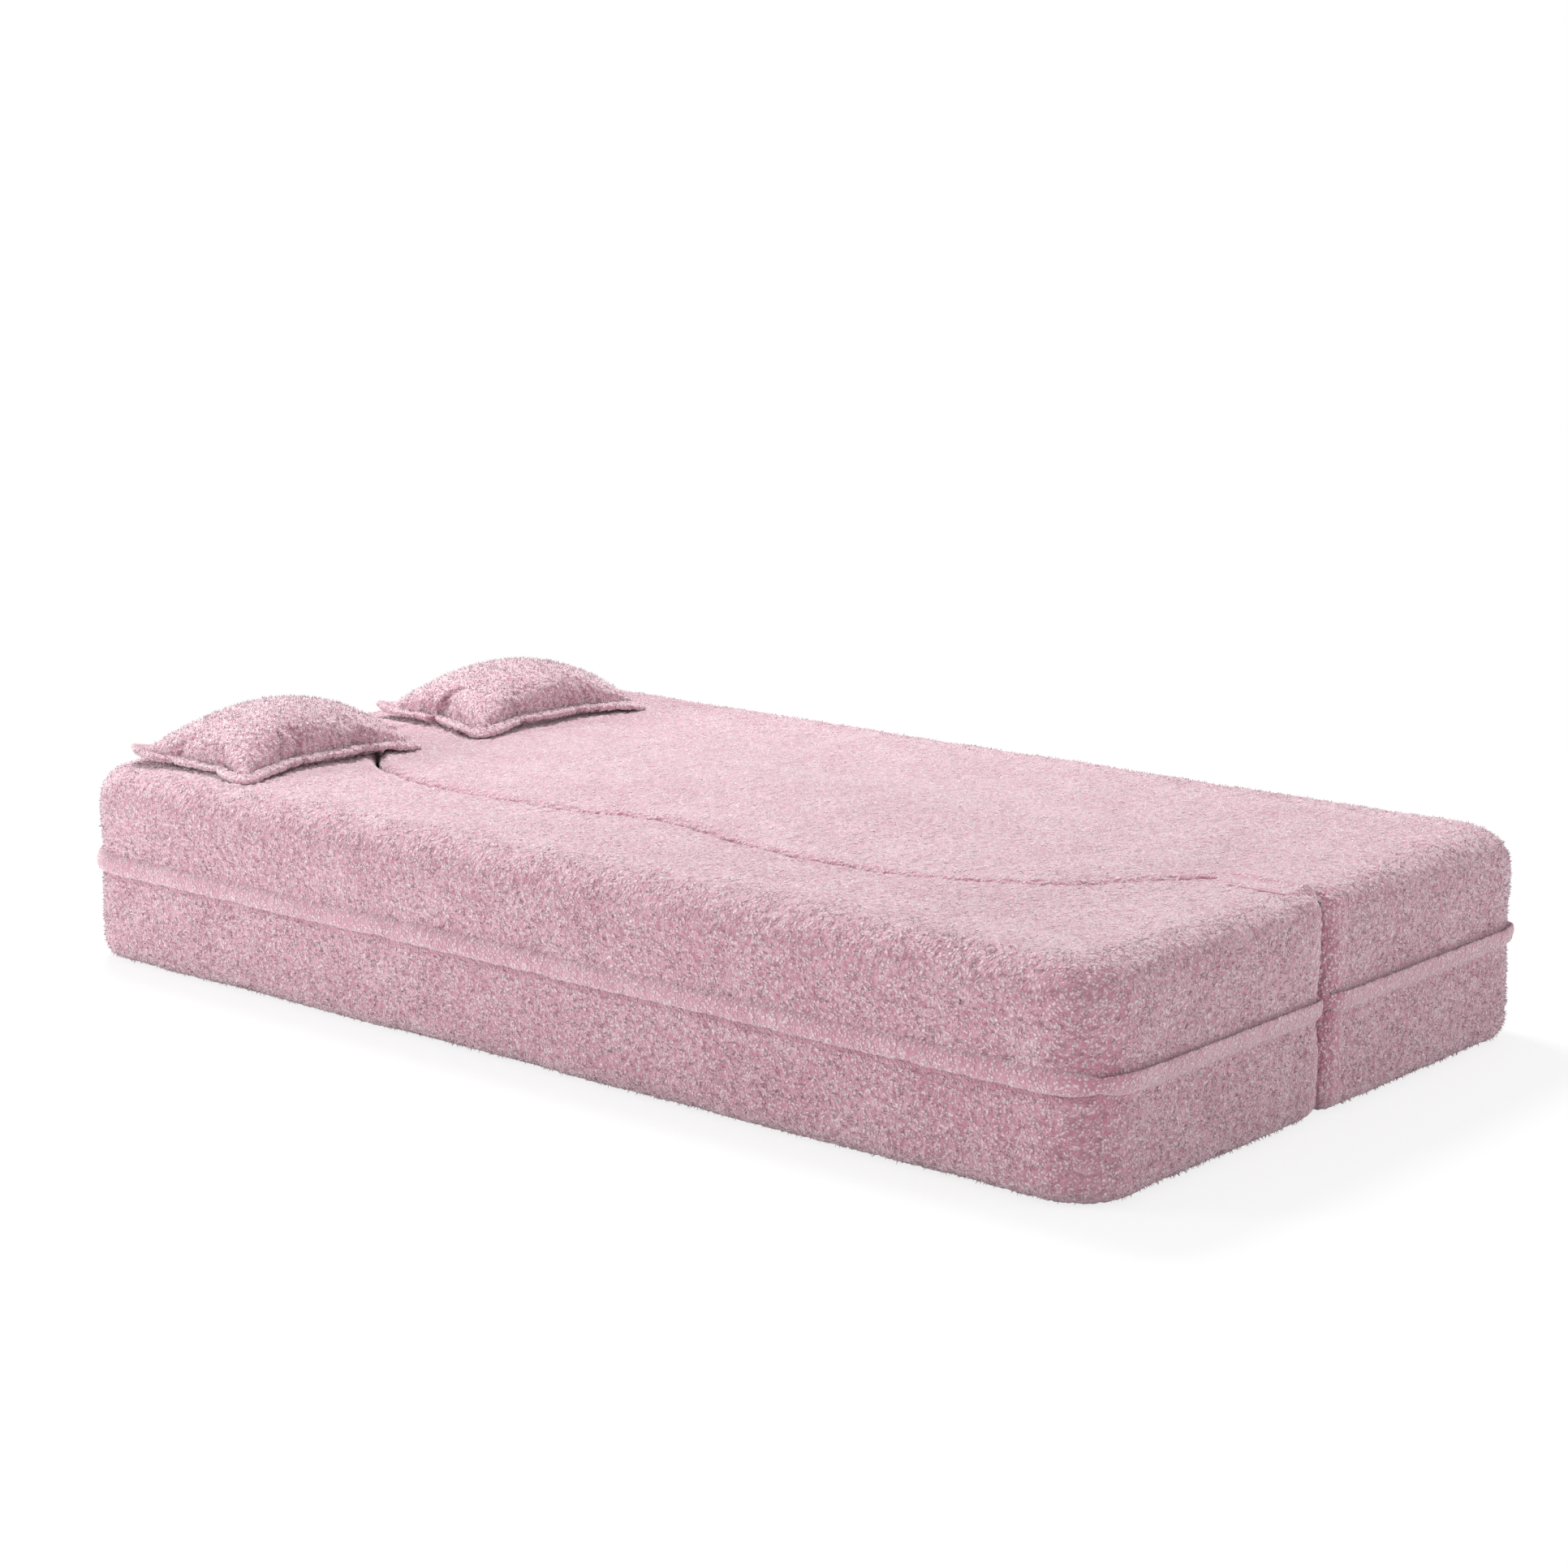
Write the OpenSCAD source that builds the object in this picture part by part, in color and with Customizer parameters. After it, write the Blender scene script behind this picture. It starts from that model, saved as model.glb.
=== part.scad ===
// Floor sofa bed: a deep seat block and a U-shaped back block that lie side by side as a bed.
// The back block folds half a turn over the top onto the seat block, and makes the back and the arms.
// Millimetres. +X runs from the head end to the foot end, -Y is the back block's side, +Z is up.
// The origin is under the middle of the open bed, on the floor.

/* [Bed] */
// Length of the open bed, over its flat ends
bed_length = 1900; // [1800:10:2000]
// Width of the open bed, over its flat sides
bed_width = 1050; // [1000:10:1150]
// Height of the blocks at their edges
bed_height = 300; // [260:5:360]
// How far the fold line lies from the middle, towards the back block
fold_offset = 12; // [0:1:30]
// Gap between the two blocks
block_gap = 10; // [8:0.5:16]
// Clearance between pieces that lie against each other
fit = 0.3; // [0.2:0.1:0.6]

/* [Rounding] */
// Radius of the upright outer corners
corner_r = 89; // [70:1:110]
// Radius of the upright corners at the split
split_corner_r = 38; // [35:1:50]
// Rounding of the outer top edges
top_edge_r = 55; // [35:1:65]
// Rounding of the top edges along the split
split_edge_r = 30; // [20:1:34]
// Rounding of the bottom edges
base_edge_r = 32; // [20:1:34]

/* [Seat front] */
// How far the two lobes of the seat reach past the fold line
lobe_reach = 266; // [200:2:290]
// Width of each arm: from the end of the bed to where the lobes leave the fold line
arm_w = 190; // [160:5:230]
// Depth of the notch between the lobes
notch_depth = 50; // [0:1:80]
// Half the width of that notch
notch_half_width = 150; // [100:5:220]
// Width over which the arm turns into the lobe's flank
arm_blend = 70; // [40:2:100]

/* [Cushioning] */
// Height of the crown in the middle of the seat
seat_crown = 18; // [0:1:22]
// Height of the crown on the back block
back_crown = 3; // [0:0.5:3]
// How far the sides are drawn in at the seam
side_draw = 3; // [0:0.5:5]
// Thickness of the cover: fleece, backing and wadding
cover_t = 8; // [4:0.5:12]
// Thickness of the non-slip base cloth
base_cloth_t = 2; // [1:0.5:4]
// Width of the cover's hem that is turned under onto the base cloth
hem_w = 12; // [8:1:20]
// Height of the firm foam core's top
core_top = 190; // [170:5:210]

/* [Zip flap] */
// Height of the seam that the flap covers
seam_z = 154; // [140:1:165]
// Height of the flap
flap_h = 26; // [22:1:34]
// How far the flap stands out from the drawn-in side
flap_reach = 11; // [10.5:0.5:14]
// How far it stands out along the split, where it is pressed flat
flap_flat_reach = 3; // [2:0.25:3.5]
// Thickness of the flap
flap_t = 2.5; // [1.5:0.25:3]
// How much of the flap lies below the seam
flap_hang = 12; // [10:0.5:15]

/* [Zip] */
// Distance from the end of the bed to the end of a block's zip
zip_inset = 150; // [130:5:350]
// Distance from a pillow's corner to the end of its zip
pillow_zip_inset = 102; // [97:1:132]
// Width of the zip's tape
tape_w = 12; // [11:0.5:13]
// Thickness of the tape
tape_t = 1; // [0.6:0.1:1.2]
// Width of the foot that the coil is sewn down by
foot_w = 2.4; // [2:0.1:3]
// Height of that foot
foot_h = 1; // [0.9:0.1:1.2]
// Width of the coil
coil_w = 5; // [4:0.1:5.5]
// Height of the coil
coil_t = 2.5; // [2:0.1:2.8]
// Length of an end stop
stop_len = 6; // [4:0.5:10]
// Length of the slider's body
slider_len = 16; // [12:0.5:20]
// Width of the slider's body
slider_w = 11; // [9:0.5:12]
// Thickness of the slider's plate
slider_t = 1.1; // [0.8:0.1:1.4]
// Clearance all round the coil inside the slider
slider_play = 0.2; // [0.15:0.05:0.3]
// Length of the pull tab
tab_len = 26; // [16:1:34]
// Width of the pull tab
tab_w = 7; // [5:0.5:9]
// Thickness of the pull tab
tab_t = 1; // [0.8:0.1:1.2]
// Radius of the hole in the pull tab
tab_hole_r = 1.6; // [1:0.1:2]

/* [Fold hinge] */
// Height of the fold's axis above the blocks
hinge_rise = 4; // [4:0.5:6]
// Length of each fabric hinge
hinge_len = 108; // [60:4:110]
// Distance from the end of the bed to the hinge
hinge_inset = 44; // [42:1:60]
// Width of each hinge leaf, from the axis to its sewn edge
leaf_w = 44; // [42:1:44]
// Thickness of the leaf's webbing
leaf_t = 1.5; // [1:0.1:1.8]
// Radius of the cord that the loops turn on
cord_r = 2; // [1.5:0.1:2.2]
// Radial clearance of the loops on the cord
loop_play = 0.1; // [0.05:0.05:0.1]
// Wall thickness of a loop
loop_t = 1.5; // [1:0.1:1.6]
// Gap between neighbouring loops
loop_gap = 1; // [0.5:0.1:2]
// Thickness of the knot disc at each end of the cord
knot_t = 3; // [2:0.5:5]

/* [Pillows] */
// Width of a pillow, across its narrow way, corner to corner
pillow_w = 278; // [240:2:300]
// Length of a pillow, corner to corner
pillow_l = 384; // [340:2:400]
// Height of a pillow's top above the surface it lies on
pillow_h = 88; // [60:1:100]
// Thickness of the pillow's panels
panel_t = 4; // [2:0.5:6]
// Width of the flat flange round a pillow
flange_w = 18; // [16:1:24]
// Thickness of the flange
flange_t = 5; // [4:0.5:7]
// Height of the seam above the surface, on the side away from the head end
pillow_seam_z = 6; // [5:0.5:12]
// How much higher the seam lies at the head end
head_lift = 11; // [10:0.5:16]
// How much the corners curl up
corner_lift = 8; // [0:0.5:14]
// Gap between a pillow and the surface it lies on
lie_gap = 0.5; // [0.3:0.1:0.9]
// Distance from the head end to the middle of the near pillow
near_pillow_inset = 188; // [170:1:200]
// Distance from the fold line to the middle of the near pillow
near_pillow_reach = 270; // [255:1:285]
// Turn of the near pillow, in degrees
near_pillow_turn = 1; // [-3:0.5:3]
// Distance from the head end to the middle of the far pillow
far_pillow_inset = 206; // [190:1:215]
// Distance from the fold line to the middle of the far pillow
far_pillow_reach = 217; // [212:1:250]
// Turn of the far pillow, in degrees
far_pillow_turn = -3; // [-4:0.5:3]

/* [Hidden] */
$fn = 32;
// How far a cut runs past the face that it opens
overrun = 1;

fleece = [0.89, 0.77, 0.80];
fleece_shade = [0.80, 0.66, 0.71];
base_grey = [0.35, 0.34, 0.36];
webbing = [0.80, 0.68, 0.72];
foam_soft = [0.97, 0.94, 0.84];
foam_firm = [0.90, 0.87, 0.70];
tape_pink = [0.76, 0.60, 0.65];
steel = [0.72, 0.72, 0.74];

half_l = bed_length / 2;
half_w = bed_width / 2;
lobe_half_width = half_l - arm_w;
zip_length = bed_length - 2 * zip_inset;
pillow_zip_length = pillow_l - 2 * pillow_zip_inset;
// The near side is -1 and the far side is 1. The back block is near, the seat block is far.
near = -1;
far = 1;
fold_y = -fold_offset;
fold_z = bed_height + hinge_rise;
cavity = cover_t + fit;

// The split in plan. The lobes' front is a flat curve that falls away with the sixth power of x,
// less a notch in the middle, and a smooth maximum blends it into the straight ends.
lobe_power = 6;
function notch(x) = notch_depth * exp(-pow(x / notch_half_width, 2));
function lobe(x) = lobe_reach * (1 - pow(abs(x) / lobe_half_width, lobe_power)) - notch(x);
function blend_up(a) = (a + sqrt(a * a + arm_blend * arm_blend)) / 2;
split_end_x = half_l - split_corner_r;
function split_y(x) = fold_y - blend_up(lobe(x)) + blend_up(lobe(split_end_x));
// The split's unit normal, which points to the seat side, from a small step along the curve
slope_step = lobe_half_width / 1000;
function split_slope(x) = (split_y(x + slope_step) - split_y(x - slope_step)) / (2 * slope_step);
function split_normal(x) =
    let (m = split_slope(x)) [-m, 1] / sqrt(1 + m * m);

// Stations along a block, shares of the lobes' half width, closer together on the flanks
half_shares = [0.1, 0.2, 0.32, 0.45, 0.58, 0.7, 0.8, 0.87, 0.93, 0.98, 1.03, 1.1];
station_shares = concat([for (i = [len(half_shares) - 1:-1:0]) -half_shares[i]], [0], half_shares);
// Rows across a block, shares of the way from its -Y side to its +Y side
row_shares = [0, 0.12, 0.35, 0.65, 0.88, 1];
corner_steps = 3;
row_last = len(row_shares) - 1;
column_count = len(station_shares) + 2 * (corner_steps + 1);
column_last = column_count - 1;
ring_count = 2 * column_last + 2 * row_last;

// A chain is a block's long side as [point, inward normal, roll share, flat share]. The top edge's
// radius follows the roll share, and the flap's reach follows the flat share, both 1 along the split.
function outer_chain(side) = let (cx = half_l - corner_r, cy = side * (half_w - corner_r)) concat(
    [for (i = [0:corner_steps]) let (a = 90 * i / corner_steps, n = [-cos(a), side * sin(a)])
        [[-cx, cy] + corner_r * n, -n, 0, 0]],
    [for (s = station_shares) [[s * lobe_half_width, side * half_w], [0, -side], 0, 0]],
    [for (i = [corner_steps:-1:0]) let (a = 90 * i / corner_steps, n = [cos(a), side * sin(a)])
        [[cx, cy] + corner_r * n, -n, 0, 0]]);
function split_chain(side) =
    let (cy = fold_y + side * (block_gap / 2 + split_corner_r)) concat(
    [for (i = [0:corner_steps]) let (a = 90 * i / corner_steps, n = [-cos(a), -side * sin(a)])
        [[-split_end_x, cy] + split_corner_r * n, -n, 1, i / corner_steps]],
    [for (s = station_shares) let (x = s * lobe_half_width, n = split_normal(x))
        [[x, split_y(x)] + side * n * block_gap / 2, side * n, 1, 1]],
    [for (i = [corner_steps:-1:0]) let (a = 90 * i / corner_steps, n = [cos(a), -side * sin(a)])
        [[split_end_x, cy] + split_corner_r * n, -n, 1, i / corner_steps]]);

// A block's outline as one ring of the same points, counter-clockwise from above. On its ends the
// roll share rises towards the split, by these shares from the outer side on.
end_roll_shares = [0, 0, 0.1, 0.6, 1, 1];
function end_row(side, a, b, k) = let (t = row_shares[k])
    [a[0] * (1 - t) + b[0] * t, a[1], end_roll_shares[side == far ? row_last - k : k], 0];
function outline(side) = let (
    south = side == far ? split_chain(side) : outer_chain(side),
    north = side == far ? outer_chain(side) : split_chain(side)) concat(
    south,
    [for (k = [1:row_last - 1]) end_row(side, south[column_last], north[column_last], k)],
    [for (j = [column_last:-1:0]) north[j]],
    [for (k = [row_last - 1:-1:1]) end_row(side, south[0], north[0], k)]);
outlines = [outline(near), outline(far)];
function ring_of(side) = outlines[side == far ? 1 : 0];

// One ring of 3-D points. The outline is drawn in by `inset` and rolled over an edge whose radius
// changes from `outer_r` to `split_r` with the roll share; `off` moves it inside the cover.
function edge_r(q, outer_r, split_r) = outer_r + (split_r - outer_r) * q[2];
function wall_ring(side, z, inset) = [for (q = ring_of(side)) let (p = q[0] + q[1] * inset) [p.x, p.y, z]];
function top_ring(side, a, off) = [for (q = ring_of(side)) let (
    r = edge_r(q, top_edge_r, split_edge_r) - off,
    p = q[0] + q[1] * (off + r * (1 - cos(a)))) [p.x, p.y, bed_height - off - r * (1 - sin(a))]];
function base_ring(side, a, off, floor_z) = [for (q = ring_of(side)) let (
    r = base_edge_r - off,
    p = q[0] + q[1] * (off + r * (1 - cos(a)))) [p.x, p.y, floor_z + off + r * (1 - sin(a))]];
function shift_ring(side, z, reach) = [for (q = ring_of(side)) let (
    p = q[0] + q[1] * (side_draw - reach * (1 + (flap_flat_reach / flap_reach - 1) * q[3])))
    [p.x, p.y, z]];

// Faces between rings, and two kinds of cap: flat strips across, and a grid that carries a crown
function band_faces(ring, n) = [for (i = [0:n - 1]) let (
    a = ring * n + i, b = ring * n + (i + 1) % n) each [[a, a + n, b + n], [a, b + n, b]]];
function skin_faces(rings, n) = [for (r = [0:rings - 2]) each band_faces(r, n)];
function grid_index(j, k, first, inner_first) =
    k == 0 ? first + j
    : k == row_last ? first + column_last + row_last + column_last - j
    : j == column_last ? first + column_last + k
    : j == 0 ? first + ring_count - k
    : inner_first + (j - 1) * (row_last - 1) + k - 1;
function grid_faces(first, inner_first) = [for (j = [0:column_last - 1], k = [0:row_last - 1]) let (
    a = grid_index(j, k, first, inner_first), b = grid_index(j + 1, k, first, inner_first),
    c = grid_index(j + 1, k + 1, first, inner_first), d = grid_index(j, k + 1, first, inner_first))
    each [[a, c, b], [a, d, c]]];
function flat_faces(first, up) = let (
    at = [for (j = [0:column_last]) [grid_index(j, 0, first, 0), grid_index(j, row_last, first, 0)]],
    west = [for (k = [0:row_last]) grid_index(0, k, first, 0)],
    east = [for (k = [0:row_last]) grid_index(column_last, k, first, 0)],
    south_west = at[1][0], south_east = at[column_last - 1][0],
    down_faces = concat(
        [for (k = [0:row_last - 1]) [south_west, west[k + 1], west[k]]],
        [[south_west, at[1][1], at[0][1]]],
        [for (j = [1:column_last - 2]) each [[at[j][0], at[j + 1][0], at[j + 1][1]],
            [at[j][0], at[j + 1][1], at[j][1]]]],
        [for (k = [0:row_last - 1]) [south_east, east[k], east[k + 1]]],
        [[south_east, east[row_last], at[column_last - 1][1]]]))
    [for (f = down_faces) up ? [f[2], f[1], f[0]] : f];

// The seat's crown lies between the front curve and its mirror image at the fold line, where the
// folded back stands. The back block's crown is low enough to lie flat on the seat block.
crown_width_share = 0.8;
function dome(t) = abs(t) < 1 ? pow(1 - t * t, 2) : 0;
function seat_height(x, y) = seat_crown
    * dome(x / (crown_width_share * lobe_half_width)) * dome((y - fold_y) / (fold_y - split_y(x)));
function back_height(x, y) = back_crown * dome(x / half_l)
    * dome((2 * y + half_w - split_y(x)) / (half_w + split_y(x)));
// A point between two others, at a share of the way
function on_line(from, to, share) = from + (to - from) * share;
// The grid's rows are shifted lengthwise, so that its ends meet the ring's, which are not straight
function crown_points(side, ring) = [for (j = [1:column_last - 1], k = [1:row_last - 1]) let (
    a = ring[j], b = ring[column_last + row_last + column_last - j],
    head = ring[ring_count - k] - on_line(ring[0], ring[ring_count - row_last], row_shares[k]),
    foot = ring[column_last + k] - on_line(ring[column_last], ring[column_last + row_last], row_shares[k]),
    p = on_line(a, b, row_shares[k]) + on_line(head, foot, j / column_last))
    [p.x, p.y, p.z + (side == far ? seat_height(p.x, p.y) : back_height(p.x, p.y))]];

outer_roll_shares = [0, 0.25, 0.5, 0.75, 1];
inner_roll_shares = [0, 0.5, 1];
// Heights of the drawn-in belt at the seam, and how far above and below it the sides are full
belt_top = seam_z + flap_h - flap_hang + fit;
belt_base = seam_z - flap_hang;
swell_share = 0.45;
upper_full_z = belt_top + (bed_height - top_edge_r - belt_top) * swell_share;
lower_full_z = belt_base - (belt_base - base_edge_r) * swell_share;
wall_inset = side_draw + cover_t;

// The upper half of a cover: a sewn shell with the crowned top, open downwards
module cover_upper(side) {
    inner = concat(
        [for (s = [2:-1:0]) top_ring(side, 90 * inner_roll_shares[s], cover_t)],
        [wall_ring(side, belt_top, wall_inset), wall_ring(side, seam_z + fit / 2, wall_inset)]);
    outer = concat(
        [wall_ring(side, seam_z + fit / 2, side_draw), wall_ring(side, belt_top, side_draw),
            wall_ring(side, upper_full_z, 0)],
        [for (s = outer_roll_shares) top_ring(side, 90 * s, 0)]);
    rings = concat(inner, outer);
    last = (len(rings) - 1) * ring_count;
    inside = len(rings) * ring_count;
    polyhedron(
        points = concat([for (r = rings) each r], crown_points(side, rings[len(rings) - 1])),
        faces = concat(flat_faces(0, false), skin_faces(len(rings), ring_count), grid_faces(last, inside)),
        convexity = 6);
}

// The lower half of a cover: a sewn band with its hem turned under, open at both ends
module cover_lower(side) {
    hem_z = base_cloth_t + fit;
    rings = concat(
        [wall_ring(side, hem_z, base_edge_r + hem_w)],
        [for (s = [2:-1:0]) base_ring(side, 90 * inner_roll_shares[s], 0, hem_z)],
        [wall_ring(side, lower_full_z, 0), wall_ring(side, belt_base, side_draw),
            wall_ring(side, seam_z - fit / 2, side_draw), wall_ring(side, seam_z - fit / 2, wall_inset),
            wall_ring(side, belt_base, wall_inset)],
        [for (s = [0:2]) base_ring(side, 90 * inner_roll_shares[s], cover_t, hem_z)],
        [wall_ring(side, hem_z + cover_t, base_edge_r + hem_w)]);
    n = ring_count;
    shut = (len(rings) - 1) * n;
    polyhedron(
        points = [for (r = rings) each r],
        faces = concat(skin_faces(len(rings), n),
            [for (i = [0:n - 1]) let (j = (i + 1) % n) each [[shut + i, i, j], [shut + i, j, shut + j]]]),
        convexity = 6);
}

// The non-slip base cloth, cut to the outline inside the rolled bottom edges
module base_cloth(side) {
    linear_extrude(base_cloth_t)
        polygon([for (q = ring_of(side)) q[0] + q[1] * base_edge_r]);
}

// The soft comfort foam fills the upper half of a cover and rests on the firm core
module foam_comfort(side) {
    rings = concat(
        [wall_ring(side, core_top + fit, wall_inset + fit)],
        [for (s = inner_roll_shares) top_ring(side, 90 * s, cavity)]);
    loft(rings);
}

// The firm foam core, with its bottom edges rolled to fit the lower cover
module foam_core(side) {
    hem_z = base_cloth_t + fit;
    rings = concat(
        [for (s = [2:-1:0]) base_ring(side, 90 * inner_roll_shares[s], cavity, hem_z)],
        [wall_ring(side, belt_base, wall_inset + fit), wall_ring(side, core_top, wall_inset + fit)]);
    loft(rings);
}

module loft(rings) {
    last = (len(rings) - 1) * ring_count;
    polyhedron(points = [for (r = rings) each r],
        faces = concat(flat_faces(0, false), skin_faces(len(rings), ring_count), flat_faces(last, true)),
        convexity = 6);
}

// The flap over the seam: sewn on along its top edge, free along its lower edge.
// The profile is [distance out from the drawn-in side, height], and closes on itself.
flap_top = seam_z + flap_h - flap_hang;
flap_base = seam_z - flap_hang;
flap_profile = [
    [fit, flap_top], [flap_reach / 2, flap_top + flap_t / 2], [flap_reach, flap_top - 2 * flap_t],
    [flap_reach, flap_base], [flap_reach - flap_t, flap_base],
    [flap_reach - flap_t, flap_top - 2.4 * flap_t], [fit, flap_top - flap_t]];
module zip_flap(side) {
    rings = [for (p = flap_profile) shift_ring(side, p[1], p[0])];
    n = ring_count;
    shut = (len(rings) - 1) * n;
    polyhedron(
        points = [for (i = [len(rings) - 1:-1:0]) each rings[i]],
        faces = concat(skin_faces(len(rings), n),
            [for (i = [0:n - 1]) let (j = (i + 1) % n) each [[shut + i, i, j], [shut + i, j, shut + j]]]),
        convexity = 6);
}

// A zip in its own frame: it runs along X, lies across Y, and stands up along Z.
// The coil stands on a narrow foot, so that the slider's lips can reach under it.
coil_z = tape_t + foot_h;
coil_top = coil_z + coil_t;
coil_round = coil_t / 2;
module zip_tape(length) {
    translate([-length / 2, -tape_w / 2, 0]) cube([length, tape_w, tape_t]);
    translate([-length / 2, -foot_w / 2, 0]) cube([length, foot_w, coil_z + coil_round]);
    translate([-length / 2, -coil_w / 2 + coil_round, coil_z])
        cube([length, coil_w - 2 * coil_round, coil_t]);
    for (s = [-1, 1]) translate([-length / 2, s * (coil_w / 2 - coil_round), coil_z + coil_round])
        rotate([0, 90, 0]) cylinder(h = length, r = coil_round);
    for (s = [-1, 1]) translate([s * (length / 2 - stop_len / 2), 0, 0])
        translate([-stop_len / 2, -slider_w / 2, 0]) cube([stop_len, slider_w, coil_top]);
}

// The slider: cheeks and lips round the coil, a plate with a round nose, a loop and the pull tab
lip_base = tape_t + slider_play;
lip_top = coil_z - slider_play;
plate_base = coil_top + slider_play;
plate_top = plate_base + slider_t;
module zip_slider_body() {
    difference() {
        union() {
            translate([-slider_len / 2, -slider_w / 2, lip_base])
                cube([slider_len - slider_w / 2, slider_w, plate_top - lip_base]);
            translate([slider_len / 2 - slider_w / 2, 0, lip_base])
                cylinder(h = plate_top - lip_base, r = slider_w / 2);
        }
        translate([-slider_len / 2 - overrun, -coil_w / 2 - slider_play, lip_top])
            cube([slider_len + 2 * overrun, coil_w + 2 * slider_play, plate_base - lip_top]);
        translate([-slider_len / 2 - overrun, -foot_w / 2 - slider_play, lip_base - overrun])
            cube([slider_len + 2 * overrun, foot_w + 2 * slider_play, lip_top - lip_base + 2 * overrun]);
    }
    // The tab is cast on its loop and lies back over the zip
    difference() {
        union() {
            translate([-slider_len / 4, -tab_w / 4, plate_top - overrun / 2])
                cube([slider_len / 2, tab_w / 2, tab_t + overrun / 2]);
            translate([-tab_len, -tab_w / 2, plate_top])
                cube([tab_len, tab_w, tab_t]);
        }
        translate([tab_w / 2 - tab_len, 0, plate_top - overrun])
            cylinder(h = tab_t + 2 * overrun, r = tab_hole_r);
    }
}
// The slider is parked against the stop at the zip's +X end
module zip_slider(length) {
    translate([length / 2 - stop_len - slider_len / 2 - fit, 0, 0]) zip_slider_body();
}

// Where a block's zip lies: on the drawn-in outer side, under the flap
module on_side(side) {
    translate([0, side * (half_w - side_draw + fit), seam_z])
        rotate([side * -90, 0, 0]) mirror([0, side == far ? 0 : 1, 0]) children();
}

// The fold hinge: two leaves of webbing, sewn to the two covers, whose loops share one cord.
// The seat's leaf has the two outer loops and the back's leaf has the middle one.
hinge_x = half_l - hinge_inset - hinge_len / 2;
loop_r = cord_r + loop_play + loop_t;
loop_len = (hinge_len - 2 * loop_gap) / 3;
leaf_z = bed_height + fit;
module on_fold() {
    for (s = [-1, 1]) translate([s * hinge_x, fold_y, 0]) children();
}
module hinge_loop(offset_x, side) {
    difference() {
        union() {
            translate([offset_x - loop_len / 2, 0, fold_z])
                rotate([0, 90, 0]) cylinder(h = loop_len, r = loop_r);
            translate([offset_x - loop_len / 2, side > 0 ? 0 : -leaf_w / 2, leaf_z])
                cube([loop_len, leaf_w / 2, leaf_t]);
        }
        translate([offset_x - loop_len / 2 - overrun, 0, fold_z])
            rotate([0, 90, 0]) cylinder(h = loop_len + 2 * overrun, r = cord_r + loop_play);
    }
}
leaf_start = loop_r + loop_gap;
module leaf_sheet(side) {
    translate([-hinge_len / 2, side > 0 ? leaf_start : -leaf_w, leaf_z])
        cube([hinge_len, leaf_w - leaf_start, leaf_t]);
}
loop_pitch = loop_len + loop_gap;

// A pillow in its own frame: X across, Y along, Z up from the surface that it lies on.
// Its outline is drawn in between the corners. Its seam lies low, and higher at the head end.
pillow_draw_share = 0.055;
flange_x_share = 1 - flange_w / (pillow_w / 2);
flange_y_share = 1 - flange_w / (pillow_l / 2);
pad_shares = [0.84, 0.6, 0.3];
function spread(s) = concat([-1, -s], [for (t = pad_shares) -s * t], [0],
    [for (i = [len(pad_shares) - 1:-1:0]) s * pad_shares[i]], [s, 1]);
u_shares = spread(flange_x_share);
v_shares = spread(flange_y_share);
pad_last = len(u_shares) - 1;
function pillow_xy(u, v) = [
    pillow_w / 2 * u * (1 - pillow_draw_share * (1 - v * v)),
    pillow_l / 2 * v * (1 - pillow_draw_share * (1 - u * u))];
function seam_height(u, v) = pillow_seam_z + head_lift * pow((1 - u) / 2, 2) + corner_lift * pow(u * v, 4);
function swell(u, v) = let (a = u / flange_x_share, b = v / flange_y_share,
    w = max(0, (1 - a * a) * (1 - b * b))) w;
top_power_share = 0.55;
base_power_share = 0.2;
function front_z(u, v, drop) = let (s = seam_height(u, v))
    s + flange_t / 2 - min(drop, flange_t / 2 - fit / 2)
    + (pillow_h - drop - s) * pow(swell(u, v), top_power_share);
function back_z(u, v, drop) = let (s = seam_height(u, v), edge = s - flange_t / 2)
    edge + min(drop, flange_t / 2 - fit / 2)
    - (edge - lie_gap - drop) * pow(swell(u, v), base_power_share);

// Two sheets of points over the same grid, closed round their edge
function pad_index(i, j, n, sheet) = sheet * n * n + i * n + j;
function pad_faces(n) = concat(
    [for (i = [0:n - 2], j = [0:n - 2]) let (
        a = pad_index(i, j, n, 0), b = pad_index(i + 1, j, n, 0),
        c = pad_index(i + 1, j + 1, n, 0), d = pad_index(i, j + 1, n, 0)) each [[a, c, b], [a, d, c]]],
    [for (i = [0:n - 2], j = [0:n - 2]) let (
        a = pad_index(i, j, n, 1), b = pad_index(i + 1, j, n, 1),
        c = pad_index(i + 1, j + 1, n, 1), d = pad_index(i, j + 1, n, 1)) each [[a, b, c], [a, c, d]]],
    [for (i = [0:n - 2]) let (a = pad_index(i, 0, n, 0), b = pad_index(i + 1, 0, n, 0), m = n * n)
        each [[a, b, b + m], [a, b + m, a + m]]],
    [for (i = [0:n - 2]) let (a = pad_index(i, n - 1, n, 0), b = pad_index(i + 1, n - 1, n, 0), m = n * n)
        each [[a, b + m, b], [a, a + m, b + m]]],
    [for (j = [0:n - 2]) let (a = pad_index(0, j, n, 0), b = pad_index(0, j + 1, n, 0), m = n * n)
        each [[a, b + m, b], [a, a + m, b + m]]],
    [for (j = [0:n - 2]) let (a = pad_index(n - 1, j, n, 0), b = pad_index(n - 1, j + 1, n, 0), m = n * n)
        each [[a, b, b + m], [a, b + m, a + m]]]);
function pad_sheet(us, vs, front, drop) = [for (u = us, v = vs) let (p = pillow_xy(u, v))
    [p.x, p.y, front ? front_z(u, v, drop) : back_z(u, v, drop)]];

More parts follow.
